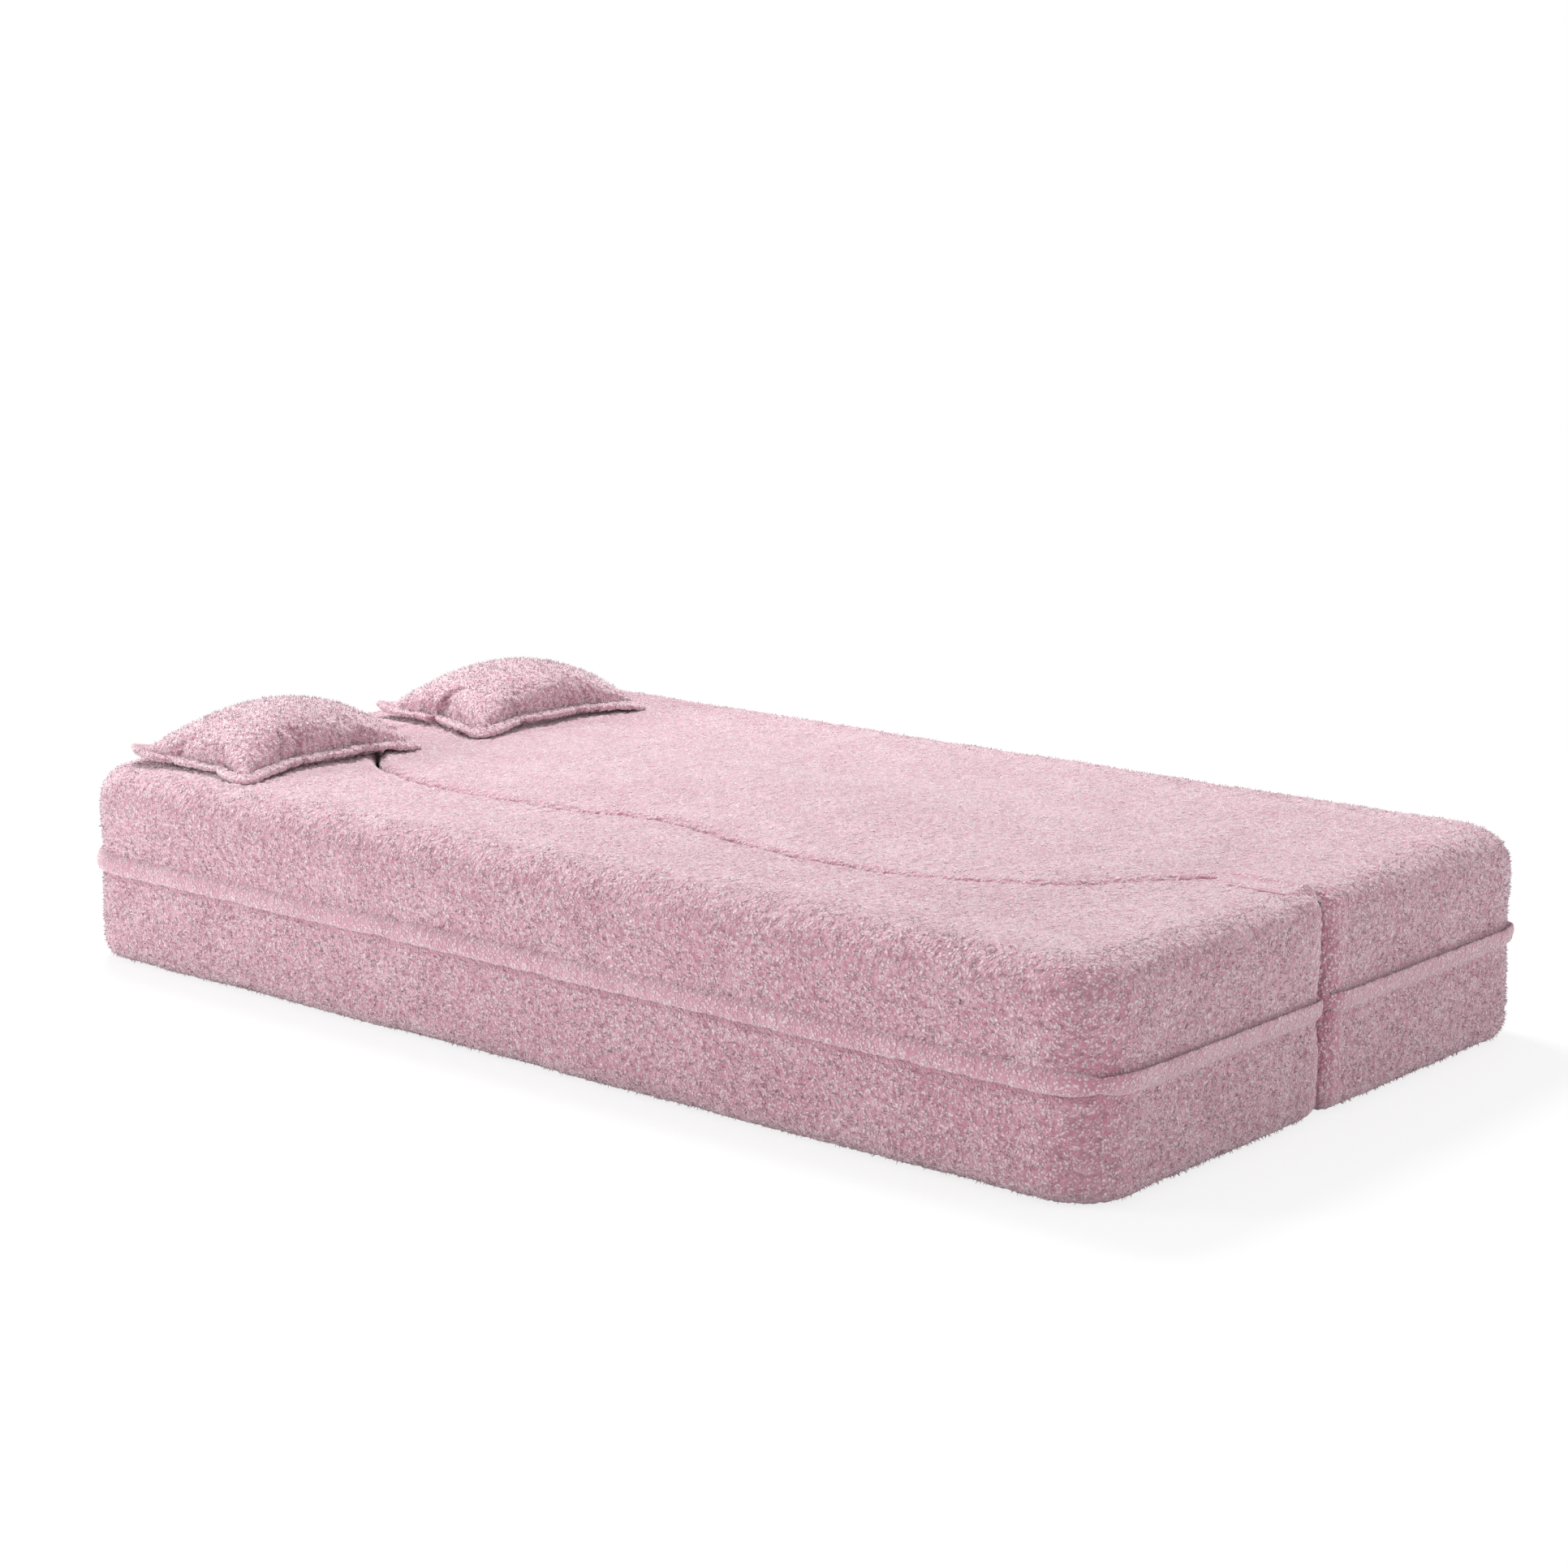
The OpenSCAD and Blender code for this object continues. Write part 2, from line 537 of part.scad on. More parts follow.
module pillow_front() {
    polyhedron(concat(pad_sheet(u_shares, v_shares, true, 0), pad_sheet(u_shares, v_shares, true, panel_t)),
        pad_faces(len(u_shares)), convexity = 4);
}
module pillow_back() {
    polyhedron(concat(pad_sheet(u_shares, v_shares, false, panel_t), pad_sheet(u_shares, v_shares, false, 0)),
        pad_faces(len(u_shares)), convexity = 4);
}
// The fibre fill stays inside the seams: it leaves out the flange and the thin edge beside it
module pillow_fill() {
    us = [for (i = [2:pad_last - 2]) u_shares[i]];
    vs = [for (i = [2:pad_last - 2]) v_shares[i]];
    polyhedron(concat(pad_sheet(us, vs, true, panel_t + fit), pad_sheet(us, vs, false, panel_t + fit)),
        pad_faces(len(us)), convexity = 4);
}
// The pillow's zip lies along the head end, sewn under the flange
zip_u_share = -(1 + flange_x_share) / 2;
zip_inner_share = zip_u_share + tape_w / pillow_w;
module on_pillow_edge() {
    translate([pillow_xy(zip_u_share, 0).x, 0, seam_height(zip_inner_share, 0) - flange_t / 2 - fit])
        rotate([180, 0, 90]) children();
}
module near_pillow() {
    translate([near_pillow_inset - half_l, fold_y - near_pillow_reach, bed_height])
        rotate(near_pillow_turn) children();
}
module far_pillow() {
    translate([far_pillow_inset - half_l, fold_y + far_pillow_reach, bed_height])
        rotate(far_pillow_turn) children();
}

// The seat block
module seat_cover_upper() { color(fleece) cover_upper(far); }
module seat_cover_lower() { color(fleece_shade) cover_lower(far); }
module seat_base_cloth() { color(base_grey) base_cloth(far); }
module seat_zip_flap() { color(fleece) zip_flap(far); }
module seat_zip_tape() { color(tape_pink) on_side(far) zip_tape(zip_length); }
module seat_zip_slider() { color(steel) on_side(far) zip_slider(zip_length); }
module seat_foam_comfort() { color(foam_soft) foam_comfort(far); }
module seat_foam_core() { color(foam_firm) foam_core(far); }
module seat_hinge_leaf() {
    color(webbing) on_fold() {
        leaf_sheet(far);
        for (s = [-1, 1]) hinge_loop(s * loop_pitch, far);
    }
}
module hinge_cord() {
    color(tape_pink) on_fold() translate([0, 0, fold_z]) rotate([0, 90, 0]) {
        cylinder(h = hinge_len + 2 * loop_gap, r = cord_r, center = true);
        for (s = [-1, 1]) translate([0, 0, s * (hinge_len / 2 + loop_gap + knot_t / 2)])
            cylinder(h = knot_t, r = loop_r, center = true);
    }
}

// The back block
module back_cover_upper() { color(fleece) cover_upper(near); }
module back_cover_lower() { color(fleece_shade) cover_lower(near); }
module back_base_cloth() { color(base_grey) base_cloth(near); }
module back_zip_flap() { color(fleece) zip_flap(near); }
module back_zip_tape() { color(tape_pink) on_side(near) zip_tape(zip_length); }
module back_zip_slider() { color(steel) on_side(near) zip_slider(zip_length); }
module back_foam_comfort() { color(foam_soft) foam_comfort(near); }
module back_foam_core() { color(foam_firm) foam_core(near); }
module back_hinge_leaf() {
    color(webbing) on_fold() {
        leaf_sheet(near);
        hinge_loop(0, near);
    }
}

// The two pillows
module near_pillow_front() { color(fleece) near_pillow() pillow_front(); }
module near_pillow_back() { color(fleece_shade) near_pillow() pillow_back(); }
module near_pillow_fill() { color(foam_soft) near_pillow() pillow_fill(); }
module near_pillow_zip() { color(tape_pink) near_pillow() on_pillow_edge() zip_tape(pillow_zip_length); }
module near_pillow_slider() { color(steel) near_pillow() on_pillow_edge() zip_slider(pillow_zip_length); }
module far_pillow_front() { color(fleece) far_pillow() pillow_front(); }
module far_pillow_back() { color(fleece_shade) far_pillow() pillow_back(); }
module far_pillow_fill() { color(foam_soft) far_pillow() pillow_fill(); }
module far_pillow_zip() { color(tape_pink) far_pillow() on_pillow_edge() zip_tape(pillow_zip_length); }
module far_pillow_slider() { color(steel) far_pillow() on_pillow_edge() zip_slider(pillow_zip_length); }

seat_cover_upper();
seat_cover_lower();
seat_base_cloth();
seat_zip_flap();
seat_zip_tape();
seat_zip_slider();
seat_foam_comfort();
seat_foam_core();
seat_hinge_leaf();
hinge_cord();
back_cover_upper();
back_cover_lower();
back_base_cloth();
back_zip_flap();
back_zip_tape();
back_zip_slider();
back_foam_comfort();
back_foam_core();
back_hinge_leaf();
near_pillow_front();
near_pillow_back();
near_pillow_fill();
near_pillow_zip();
near_pillow_slider();
far_pillow_front();
far_pillow_back();
far_pillow_fill();
far_pillow_zip();
far_pillow_slider();
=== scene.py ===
import math
import bpy
import numpy as np
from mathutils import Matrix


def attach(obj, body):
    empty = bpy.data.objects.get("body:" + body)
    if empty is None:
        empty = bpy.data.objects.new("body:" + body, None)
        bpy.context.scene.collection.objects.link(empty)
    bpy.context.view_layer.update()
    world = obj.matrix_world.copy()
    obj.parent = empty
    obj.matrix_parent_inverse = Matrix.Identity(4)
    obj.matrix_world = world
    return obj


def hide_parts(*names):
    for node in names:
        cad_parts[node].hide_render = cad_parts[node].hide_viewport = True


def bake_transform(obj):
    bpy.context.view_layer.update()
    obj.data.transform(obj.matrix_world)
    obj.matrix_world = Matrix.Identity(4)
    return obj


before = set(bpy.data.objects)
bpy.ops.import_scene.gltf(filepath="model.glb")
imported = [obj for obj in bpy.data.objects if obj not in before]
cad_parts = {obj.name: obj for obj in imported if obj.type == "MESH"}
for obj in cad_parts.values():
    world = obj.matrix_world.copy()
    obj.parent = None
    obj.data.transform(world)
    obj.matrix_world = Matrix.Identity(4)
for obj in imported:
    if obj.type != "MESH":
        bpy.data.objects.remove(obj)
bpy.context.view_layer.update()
mm = 0.001

# The view: a long lens, from beyond the bed's near foot corner and from above.
# The camera looks down by about 12 degrees and isn't shifted, so other views stay centred.
photo_pixels = 1932
focal_pixels = 4031
camera_turn = 0.7070
camera_tilt = 0.2042
camera_data = bpy.data.cameras.new("camera")
camera_data.sensor_width = 36
camera_data.lens = camera_data.sensor_width * focal_pixels / photo_pixels
camera = bpy.data.objects.new("camera", camera_data)
camera.location = (3.0435, -3.5362, 1.2801)
camera.rotation_euler = (math.pi / 2 - camera_tilt, 0, camera_turn)
bpy.context.scene.collection.objects.link(camera)
bpy.context.scene.camera = camera
bpy.context.scene.view_settings.view_transform = "Standard"

# The studio: a white floor and sky, which the camera sees as white, with a soft shadow under the bed.
# A large soft lamp hangs over the head end, two smaller ones light the near side and the foot end, and
# the white surroundings fill in the rest.
floor_half = 30
floor_data = bpy.data.meshes.new("studio_floor")
floor_data.from_pydata([(x * floor_half, y * floor_half, 0) for x, y in ((-1, -1), (1, -1), (1, 1), (-1, 1))],
                       [], [(0, 1, 2, 3)])
floor = bpy.data.objects.new("studio_floor", floor_data)
bpy.context.scene.collection.objects.link(floor)


def new_material(name):
    """An empty node material, the way that every finish here starts."""
    material = bpy.data.materials.new(name)
    material.use_nodes = True
    material.node_tree.nodes.clear()
    return material, material.node_tree


def add_node(tree, kind, settings):
    """A shader node of a kind, with the settings of its inputs by their names."""
    node = tree.nodes.new(f"ShaderNode{kind}")
    for name, value in settings.items():
        node.inputs[name].default_value = value
    return node


def feed(tree, socket, value):
    """Gives a socket a number or a colour, or joins another node's output to it."""
    if isinstance(value, tuple):
        socket.default_value = (*value, 1)
    elif isinstance(value, (int, float)):
        socket.default_value = value
    else:
        tree.links.new(value, socket)


def math_node(tree, operation, a, b, clamp=False):
    """One sum of the node tree: an operation on two sockets or numbers."""
    node = tree.nodes.new("ShaderNodeMath")
    node.operation = operation
    node.use_clamp = clamp
    feed(tree, node.inputs[0], a)
    feed(tree, node.inputs[1], b)
    return node.outputs[0]


def white_mix(tree, lit, white, out_kind, white_share=1.0):
    """Shows a white shader to the camera and to glossy surfaces, by a share, and a lit one to all else."""
    path = tree.nodes.new("ShaderNodeLightPath")
    seen = math_node(tree, "MAXIMUM", path.outputs["Is Camera Ray"], path.outputs["Is Glossy Ray"])
    mix = tree.nodes.new("ShaderNodeMixShader")
    out = tree.nodes.new(out_kind)
    tree.links.new(math_node(tree, "MULTIPLY", seen, white_share), mix.inputs[0])
    tree.links.new(lit.outputs[0], mix.inputs[1])
    tree.links.new(white.outputs[0], mix.inputs[2])
    tree.links.new(mix.outputs[0], out.inputs["Surface"])


floor_finish, tree = new_material("studio_floor")
floor_paint = add_node(tree, "BsdfDiffuse", {"Color": (0.93, 0.93, 0.93, 1)})
floor_white = add_node(tree, "Emission", {"Color": (1, 1, 1, 1)})
floor_ramp = add_node(tree, "MapRange", {"From Min": 1.2, "From Max": 2.6, "To Min": 0.80, "To Max": 1})
floor_place = tree.nodes.new("ShaderNodeTexCoord")
floor_reach = tree.nodes.new("ShaderNodeVectorMath")
floor_reach.operation = "LENGTH"
tree.links.new(floor_place.outputs["Object"], floor_reach.inputs[0])
tree.links.new(floor_reach.outputs["Value"], floor_ramp.inputs["Value"])
white_mix(tree, floor_paint, floor_white, "ShaderNodeOutputMaterial", floor_ramp.outputs[0])
floor_data.materials.append(floor_finish)

sky = bpy.data.worlds.new("studio_sky")
sky.use_nodes = True
bpy.context.scene.world = sky
tree = sky.node_tree
tree.nodes.clear()
sky_light = add_node(tree, "Background", {"Color": (1, 1, 1, 1), "Strength": 0.66})
sky_seen = add_node(tree, "Background", {"Color": (1, 1, 1, 1), "Strength": 1})
white_mix(tree, sky_light, sky_seen, "ShaderNodeOutputWorld")


def soft_lamp(name, place, target, size, power, tint=(1, 1, 1)):
    """A square lamp at a place, turned so that it faces a target point."""
    data = bpy.data.lights.new(name, "AREA")
    data.shape = "SQUARE"
    data.size = size
    data.energy = power
    data.color = tint
    lamp = bpy.data.objects.new(name, data)
    lamp.location = place
    away = np.array(place) - np.array(target)
    turn = math.atan2(away[0], -away[1])
    tilt = math.atan2(math.hypot(away[0], away[1]), away[2])
    lamp.rotation_euler = (tilt, 0, turn)
    bpy.context.scene.collection.objects.link(lamp)


soft_lamp("key_lamp", (-2.0, 0.9, 4.1), (0.1, 0, 0.2), 1.6, 240)
soft_lamp("side_lamp", (-3.2, -3.7, 1.5), (0, 0, 0.2), 1.2, 130)
soft_lamp("foot_lamp", (5.0, 1.2, 1.6), (0.9, 0, 0.2), 2.0, 48, (1, 0.92, 0.98))

# The seat block's upper cover: long-pile teddy fleece over wadding, sewn to a crowned top.
# Its plan is the far half of the bed, with a front of two lobes, and its sides are drawn in at the seam.
half_l = 950 * mm
half_w = 525 * mm
bed_height = 300 * mm
fold_y = -12 * mm
block_gap = 6 * mm
corner_r = 89 * mm
split_corner_r = 32 * mm
top_edge_r = 55 * mm
corner_edge_r = 25 * mm
split_edge_r = 16 * mm
edge_change = 140 * mm
lobe_reach = 266 * mm
lobe_half_width = 760 * mm
lobe_power = 6
notch_depth = 50 * mm
notch_half_width = 150 * mm
arm_blend = 70 * mm
seat_crown = 18 * mm
back_crown = 3 * mm
crown_width_share = 0.8
side_draw = 3 * mm
cover_t = 8 * mm
seam_z = 154 * mm
belt_top = 168 * mm
draw_h = 60 * mm
seam_gap = 1 * mm
tuft_size = 6.5 * mm
tuft_spread = 0.6
lump_size = 12 * mm
lump_share = 0.25
curl_bump = 3.2 * mm
curl_bend = 0.006
curl_fall = 1.9
fibre_share = 0.7
curl_share = 0.35
shade_slope = 1.35
shade_start = 0.70
patch_share = 0.5
pile_depth = 3.0 * mm
swell_size = 75 * mm
swell_depth = 1.6 * mm
calm_half_h = 13 * mm
calm_edge = 8 * mm
near, far = -1, 1
along_count = 580
corner_count = 28
block_rows = {near: 115, far: 200}
wall_count = 42
roll_count = 24


def lobe(x):
    """The lobes' reach past the fold line: a flat curve that falls with the sixth power, less a notch."""
    return (lobe_reach * (1 - np.abs(x / lobe_half_width) ** lobe_power)
            - notch_depth * np.exp(-(x / notch_half_width) ** 2))


def blend_up(a):
    """A smooth maximum of a and nothing: half of a plus the root of its square and the blend's."""
    return (a + np.sqrt(a * a + arm_blend * arm_blend)) / 2


split_end_x = half_l - split_corner_r
corner_roll_share = (top_edge_r - corner_edge_r) / (top_edge_r - split_edge_r)


def split_y(x):
    """The split in plan: the fold line, less the smooth maximum of the lobes' reach."""
    return fold_y - blend_up(lobe(x)) + blend_up(lobe(split_end_x))


def split_normal(x):
    """The split's unit normal towards the seat, from its slope over a small step."""
    step = lobe_half_width / 1000
    slope = (split_y(x + step) - split_y(x - step)) / (2 * step)
    return np.stack([-slope, np.ones_like(x)], 1) / np.sqrt(1 + slope * slope)[:, None]


def ease_in(t):
    """A share that runs from 0 to 1 with a level start and end: three squares less two cubes."""
    t = np.clip(t, 0, 1)
    return t * t * (3 - 2 * t)


def stations():
    """Shares from -1 to 1 along a block, at even steps of a run that grows with the root of the split's
    arc length, so that they are closer together where the split is steep."""
    x = np.linspace(-split_end_x, split_end_x, 4001)
    slope = np.gradient(split_y(x), x)
    run = np.concatenate([[0], np.cumsum((1 + slope[1:] ** 2) ** 0.25 * np.diff(x))])
    return np.interp(np.linspace(0, run[-1], along_count + 1), run, x) / split_end_x


def long_side(side, along_split):
    """One long side of a block in plan, as points, inward normals, roll shares and flat shares, both 1 on
    the split: a quarter circle at the head end, the side itself, and a quarter circle at the foot end."""
    turn = np.linspace(0, math.pi / 2, corner_count + 1)[:-1]
    if along_split:
        out = -side
        reach, radius = split_end_x, split_corner_r
        middle_y = fold_y + side * (block_gap / 2 + split_corner_r)
        x = stations() * reach
        inward = side * split_normal(x)
        run = np.stack([x, split_y(x)], 1) + inward * block_gap / 2
    else:
        out = side
        reach, radius = half_l - corner_r, corner_r
        middle_y = side * (half_w - corner_r)
        x = stations() * reach
        inward = np.tile([0.0, -side], (len(x), 1))
        run = np.stack([x, np.full_like(x, side * half_w)], 1)
    head = np.stack([-np.cos(turn), out * np.sin(turn)], 1)
    foot = head[::-1] * [-1, 1]
    points = np.concatenate([[-reach, middle_y] + radius * head, run, [reach, middle_y] + radius * foot])
    normals = np.concatenate([-head, inward, -foot])
    ease = np.linspace(0, 1, corner_count + 1)[:-1]
    from_corner = ease_in((split_end_x - np.abs(points[:, 0])) / edge_change)
    roll_share = corner_roll_share + (1 - corner_roll_share) * from_corner
    flat_share = np.concatenate([ease, np.ones(len(x)), ease[::-1]])
    return points, normals, along_split * roll_share, along_split * flat_share


def outline(side):
    """A block's plan as one ring, counter-clockwise from above, with inward normals, roll shares, which
    rise along the ends towards the split, and flat shares."""
    south = long_side(side, side == far)
    north = long_side(side, side == near)
    share = np.linspace(0, 1, block_rows[side] + 1)[1:-1, None]
    ends = []
    for column in (-1, 0):
        line = south[0][column] * (1 - share) + north[0][column] * share
        to_split = share[:, 0] if side == near else 1 - share[:, 0]
        ends.append((line, np.tile(south[1][column], (len(line), 1)), corner_roll_share * to_split,
                     np.zeros(len(line))))
    parts = [south, ends[0], [p[::-1] for p in north], [p[::-1] for p in ends[1]]]
    return [np.concatenate([part[i] for part in parts]) for i in range(4)]


outlines = {side: outline(side) for side in (near, far)}


def ring_at(side, inset, z):
    """The block's ring, drawn in by an inset and lifted to a height, each one number or one a point."""
    points, normals = outlines[side][:2]
    flat = points + normals * np.broadcast_to(inset, len(points))[:, None]
    return np.column_stack([flat, np.broadcast_to(z, len(points))])


def ring_normals(side, turn=0.0):
    """The ring's unit normals: level and outwards, turned up by an angle, or down by a negative one."""
    flat = -outlines[side][1] * math.cos(turn)
    return np.column_stack([flat, np.full(len(flat), math.sin(turn))])


def dome(t):
    """A bump, the square of 1 less t squared: 1 in the middle, and a level 0 at t of -1 and 1."""
    return np.where(np.abs(t) < 1, (1 - t * t) ** 2, 0)


def crown_height(side, x, y):
    """The cushion's crown, two domes multiplied: on the seat between its front and the front's mirror
    image at the fold line, and on the back block, very low, over its whole width."""
    edge = split_y(x)
    if side == far:
        along = dome(x / (crown_width_share * lobe_half_width))
        return seat_crown * along * dome((y - fold_y) / (fold_y - edge))
    return back_crown * dome(x / half_l) * dome((2 * y + half_w - edge) / (half_w + edge))


def lumps(points, cell, seed):
    """Smooth random numbers from -1 to 1 in space: a cubic lattice of random numbers with that cell,
    and an eased blend between the eight lattice points around each place."""
    count = 64
    lattice = np.random.default_rng(seed).uniform(-1, 1, (count, count, count))
    at = points / cell
    low = np.floor(at).astype(int)
    share = at - low
    share = share * share * (3 - 2 * share)
    total = np.zeros(len(points))
    for corner in np.ndindex(2, 2, 2):
        weight = np.prod(np.where(corner, share, 1 - share), axis=1)
        i, j, k = ((low + corner) % count).T
        total += weight * lattice[i, j, k]
    return total


def point_normals(points, quads):
    """Unit normals at the points: the sum of the crossed diagonals of the faces round each."""
    cross = np.cross(points[quads[:, 2]] - points[quads[:, 0]], points[quads[:, 3]] - points[quads[:, 1]])
    total = np.zeros_like(points)
    for corner in range(4):
        np.add.at(total, quads[:, corner], cross)
    return total / np.maximum(np.linalg.norm(total, axis=1), 1e-12)[:, None]


def tuft_heights(points, seed):
    """Domes like the pile's curls, from 0 between them to 1: a cubic lattice holds one curl's middle in
    each cell, moved at random, and the height falls with the square of the distance to the nearest."""
    count = 48
    place = np.random.default_rng(seed).uniform(0.05, 0.95, (count, count, count, 3))
    at = points / tuft_size
    low = np.floor(at).astype(int)
    nearest = np.full(len(points), 9.0)
    for step in np.ndindex(3, 3, 3):
        cell = low + step - 1
        i, j, k = (cell % count).T
        nearest = np.minimum(nearest, ((at - cell - place[i, j, k]) ** 2).sum(axis=1))
    return 1 - np.clip(nearest / tuft_spread, 0, 1)


def calm_share(points):
    """How far the fleece may swell: not at all in the belt under the flap, where the zip lies."""
    return ease_in((np.abs(points[:, 2] - seam_z) - calm_half_h) / calm_edge)


def swollen(points, normals, seed):
    """The wadding's soft swell: each point moves along its normal by lumps, except where it is calm."""
    swell = swell_depth * calm_share(points) * lumps(points, swell_size, seed + 7)
    return points + normals * swell[:, None]


def with_pile(points, quads, depth, seed, normals=None):
    """The pile: each point moves along its normal by its curl's height, and by lumps of two curls' size.
    The curl's height is also returned, for the finish to paint shade on the pile between the curls."""
    if normals is None:
        normals = point_normals(points, quads)
    tuft = tuft_heights(points, seed)
    height = depth * (tuft - 0.5 + lump_share * lumps(points, lump_size, seed + 1))
    return points + normals * height[:, None], quads, tuft


def ring_numbers(count, size):
    """The point numbers of a count of rings that follow one another."""
    return list(np.arange(count * size).reshape(count, size))


def band_quads(loops):
    """Faces between each closed ring of point numbers and the next one, which lies above it."""
    return np.concatenate([np.stack([low, np.roll(low, -1), np.roll(high, -1), high], 1)
                           for low, high in zip(loops, loops[1:])])


def grid_quads(number):
    """Faces over a grid of point numbers, upwards where rows run along x and columns along y."""
    return np.stack([number[:-1, :-1], number[1:, :-1], number[1:, 1:], number[:-1, 1:]], 2).reshape(-1, 4)


def new_piece(name, points, faces, tuft=None, material=None, smooth=True):
    """A mesh object at the origin from arrays of points and of faces with three or four corners each.
    A fleece piece also carries its curls' heights as an attribute."""
    data = bpy.data.meshes.new(name)
    data.vertices.add(len(points))
    data.vertices.foreach_set("co", np.asarray(points, np.float32).ravel())
    data.loops.add(faces.size)
    data.loops.foreach_set("vertex_index", faces.astype(np.int32).ravel())
    data.polygons.add(len(faces))
    data.polygons.foreach_set("loop_start", np.arange(0, faces.size, faces.shape[1], dtype=np.int32))
    data.polygons.foreach_set("use_smooth", np.full(len(faces), smooth))
    data.update(calc_edges=True)
    data.validate()
    if tuft is not None:
        data.attributes.new("tuft", "FLOAT", "POINT").data.foreach_set("value", tuft.astype(np.float32))
    data.materials.append(material or pink_fleece)
    piece = bpy.data.objects.new(name, data)
    bpy.context.scene.collection.objects.link(piece)
    return piece


def grid_inside(border, columns, rows):
    """A grid whose border is a ring. It runs straight from side to side, and is shifted lengthwise so
    that its ends meet the ring's."""
    south = border[:columns]
    north = border[columns + rows - 2:2 * columns + rows - 2][::-1]
    share = np.linspace(0, 1, rows)[None, :, None]
    grid = south[:, None] * (1 - share) + north[:, None] * share
    foot_row = border[columns:columns + rows - 2]
    head_row = border[2 * columns + rows - 2:][::-1]
    to_foot = np.linspace(0, 1, columns)[:, None, None]
    grid[:, 1:-1] += (foot_row - grid[-1, 1:-1]) * to_foot + (head_row - grid[0, 1:-1]) * (1 - to_foot)
    return grid


def border_numbers(number):
    """The point numbers along the border of a grid of them, in the order of a ring."""
    return np.concatenate([number[:, 0], number[-1, 1:-1], number[::-1, -1], number[0, -2:0:-1]])


def closed_by_grid(side, rings, last_inset, top_z):
    """Points and faces of a skin of rings whose top is closed by a grid."""
    columns = along_count + 2 * corner_count + 1
    rows = block_rows[side] + 1
    ring_size = len(outlines[side][0])
    grid = grid_inside(ring_at(side, last_inset, top_z), columns, rows)
    number = len(rings) * ring_size + np.arange(columns * rows).reshape(columns, rows)
    loops = ring_numbers(len(rings), ring_size) + [border_numbers(number)]
    quads = np.concatenate([band_quads(loops), grid_quads(number)])
    return np.concatenate(rings + [grid.reshape(-1, 3)]), quads, number


def roll_radius(side, outer, split):
    """An edge's radius at each point of the ring, from the outer one to the one along the split."""
    share = outlines[side][2]
    return outer + (split - outer) * share


def rolled(radius, turn):
    """A rolled edge at an angle: how far in it lies, and how far from its face, each a radius less its
    part along one of the angle's two sides."""
    return radius * (1 - math.cos(turn)), radius * (1 - math.sin(turn))


def upper_cover(side, seed):
    """Rings from the turned-in lower edge up the side and over the rolled top edge, and the crowned top."""
    radius = roll_radius(side, top_edge_r, split_edge_r)
    low = seam_z + seam_gap
    rings = [ring_at(side, side_draw + cover_t, belt_top), ring_at(side, side_draw + cover_t, low)]
    normals = [0 * ring_normals(side)] * 2
    for t in np.linspace(0, 1, wall_count):
        z = low + (bed_height - radius - low) * t
        rings.append(ring_at(side, side_draw * (1 - ease_in((z - belt_top) / draw_h)), z))
        normals.append(ring_normals(side))
    for turn in np.linspace(0, math.pi / 2, roll_count)[1:-1]:
        inset, fall = rolled(radius, turn)
        rings.append(ring_at(side, inset, bed_height - fall))
        normals.append(ring_normals(side, turn))
    points, quads, number = closed_by_grid(side, rings, radius, bed_height)
    top = number.ravel()
    points[top, 2] += crown_height(side, points[top, 0], points[top, 1])
    normals = np.concatenate(normals + [np.tile([0.0, 0.0, 1.0], (number.size, 1))])
    depth = pile_depth * calm_share(points)
    return with_pile(swollen(points, normals, seed), quads, depth, seed, normals)


def texture(tree, kind, **settings):
    """A texture node of a kind, over the object's own coordinates, with settings for its inputs."""
    place = tree.nodes.new("ShaderNodeTexCoord")
    node = add_node(tree, f"Tex{kind}", settings)
    tree.links.new(place.outputs["Object"], node.inputs["Vector"])
    return node


def two_tones(tree, share, low, high):
    """A colour between two others, each a socket or a colour, by a share."""
    mix = tree.nodes.new("ShaderNodeMix")
    mix.data_type = "RGBA"
    tree.links.new(share, mix.inputs["Factor"])
    feed(tree, mix.inputs[6], low)
    feed(tree, mix.inputs[7], high)
    return mix.outputs[2]


def surface_of(tree, colour, height, strength, distance, roughness):
    """A surface with a colour, a roughness and a bump, joined to the material's output."""
    bump = add_node(tree, "Bump", {"Strength": strength, "Distance": distance})
    surface = tree.nodes.new("ShaderNodeBsdfPrincipled")
    out = tree.nodes.new("ShaderNodeOutputMaterial")
    feed(tree, surface.inputs["Base Color"], colour)
    feed(tree, surface.inputs["Roughness"], roughness)
    tree.links.new(height, bump.inputs["Height"])
    tree.links.new(bump.outputs["Normal"], surface.inputs["Normal"])
    tree.links.new(surface.outputs[0], out.inputs["Surface"])
    return surface


# The fleece's colour: painted shade between the curls, from the curls' heights in the mesh and in a cell
# texture, mixed with fibre noise and random patches of tone.
fleece_grain = bpy.data.node_groups.new("fleece_grain", "ShaderNodeTree")
for socket_name, way, kind in (("Tuft Scale", "INPUT", "Float"), ("Light", "INPUT", "Color"),
                               ("Shade", "INPUT", "Color"), ("Color", "OUTPUT", "Color"),
                               ("Height", "OUTPUT", "Float")):
    fleece_grain.interface.new_socket(socket_name, in_out=way, socket_type=f"NodeSocket{kind}")
tree = fleece_grain
grain_in = tree.nodes.new("NodeGroupInput")
grain_out = tree.nodes.new("NodeGroupOutput")
grain_place = tree.nodes.new("ShaderNodeTexCoord")
bend_noise = texture(tree, "Noise", Scale=90)
bend_scale = tree.nodes.new("ShaderNodeVectorMath")
bend_scale.operation = "SCALE"
bend_scale.inputs["Scale"].default_value = curl_bend
bend_add = tree.nodes.new("ShaderNodeVectorMath")
bend_add.operation = "ADD"
tuft_cells = tree.nodes.new("ShaderNodeTexVoronoi")
tuft_cells.feature = "SMOOTH_F1"
tuft_cells.inputs["Smoothness"].default_value = 0.35
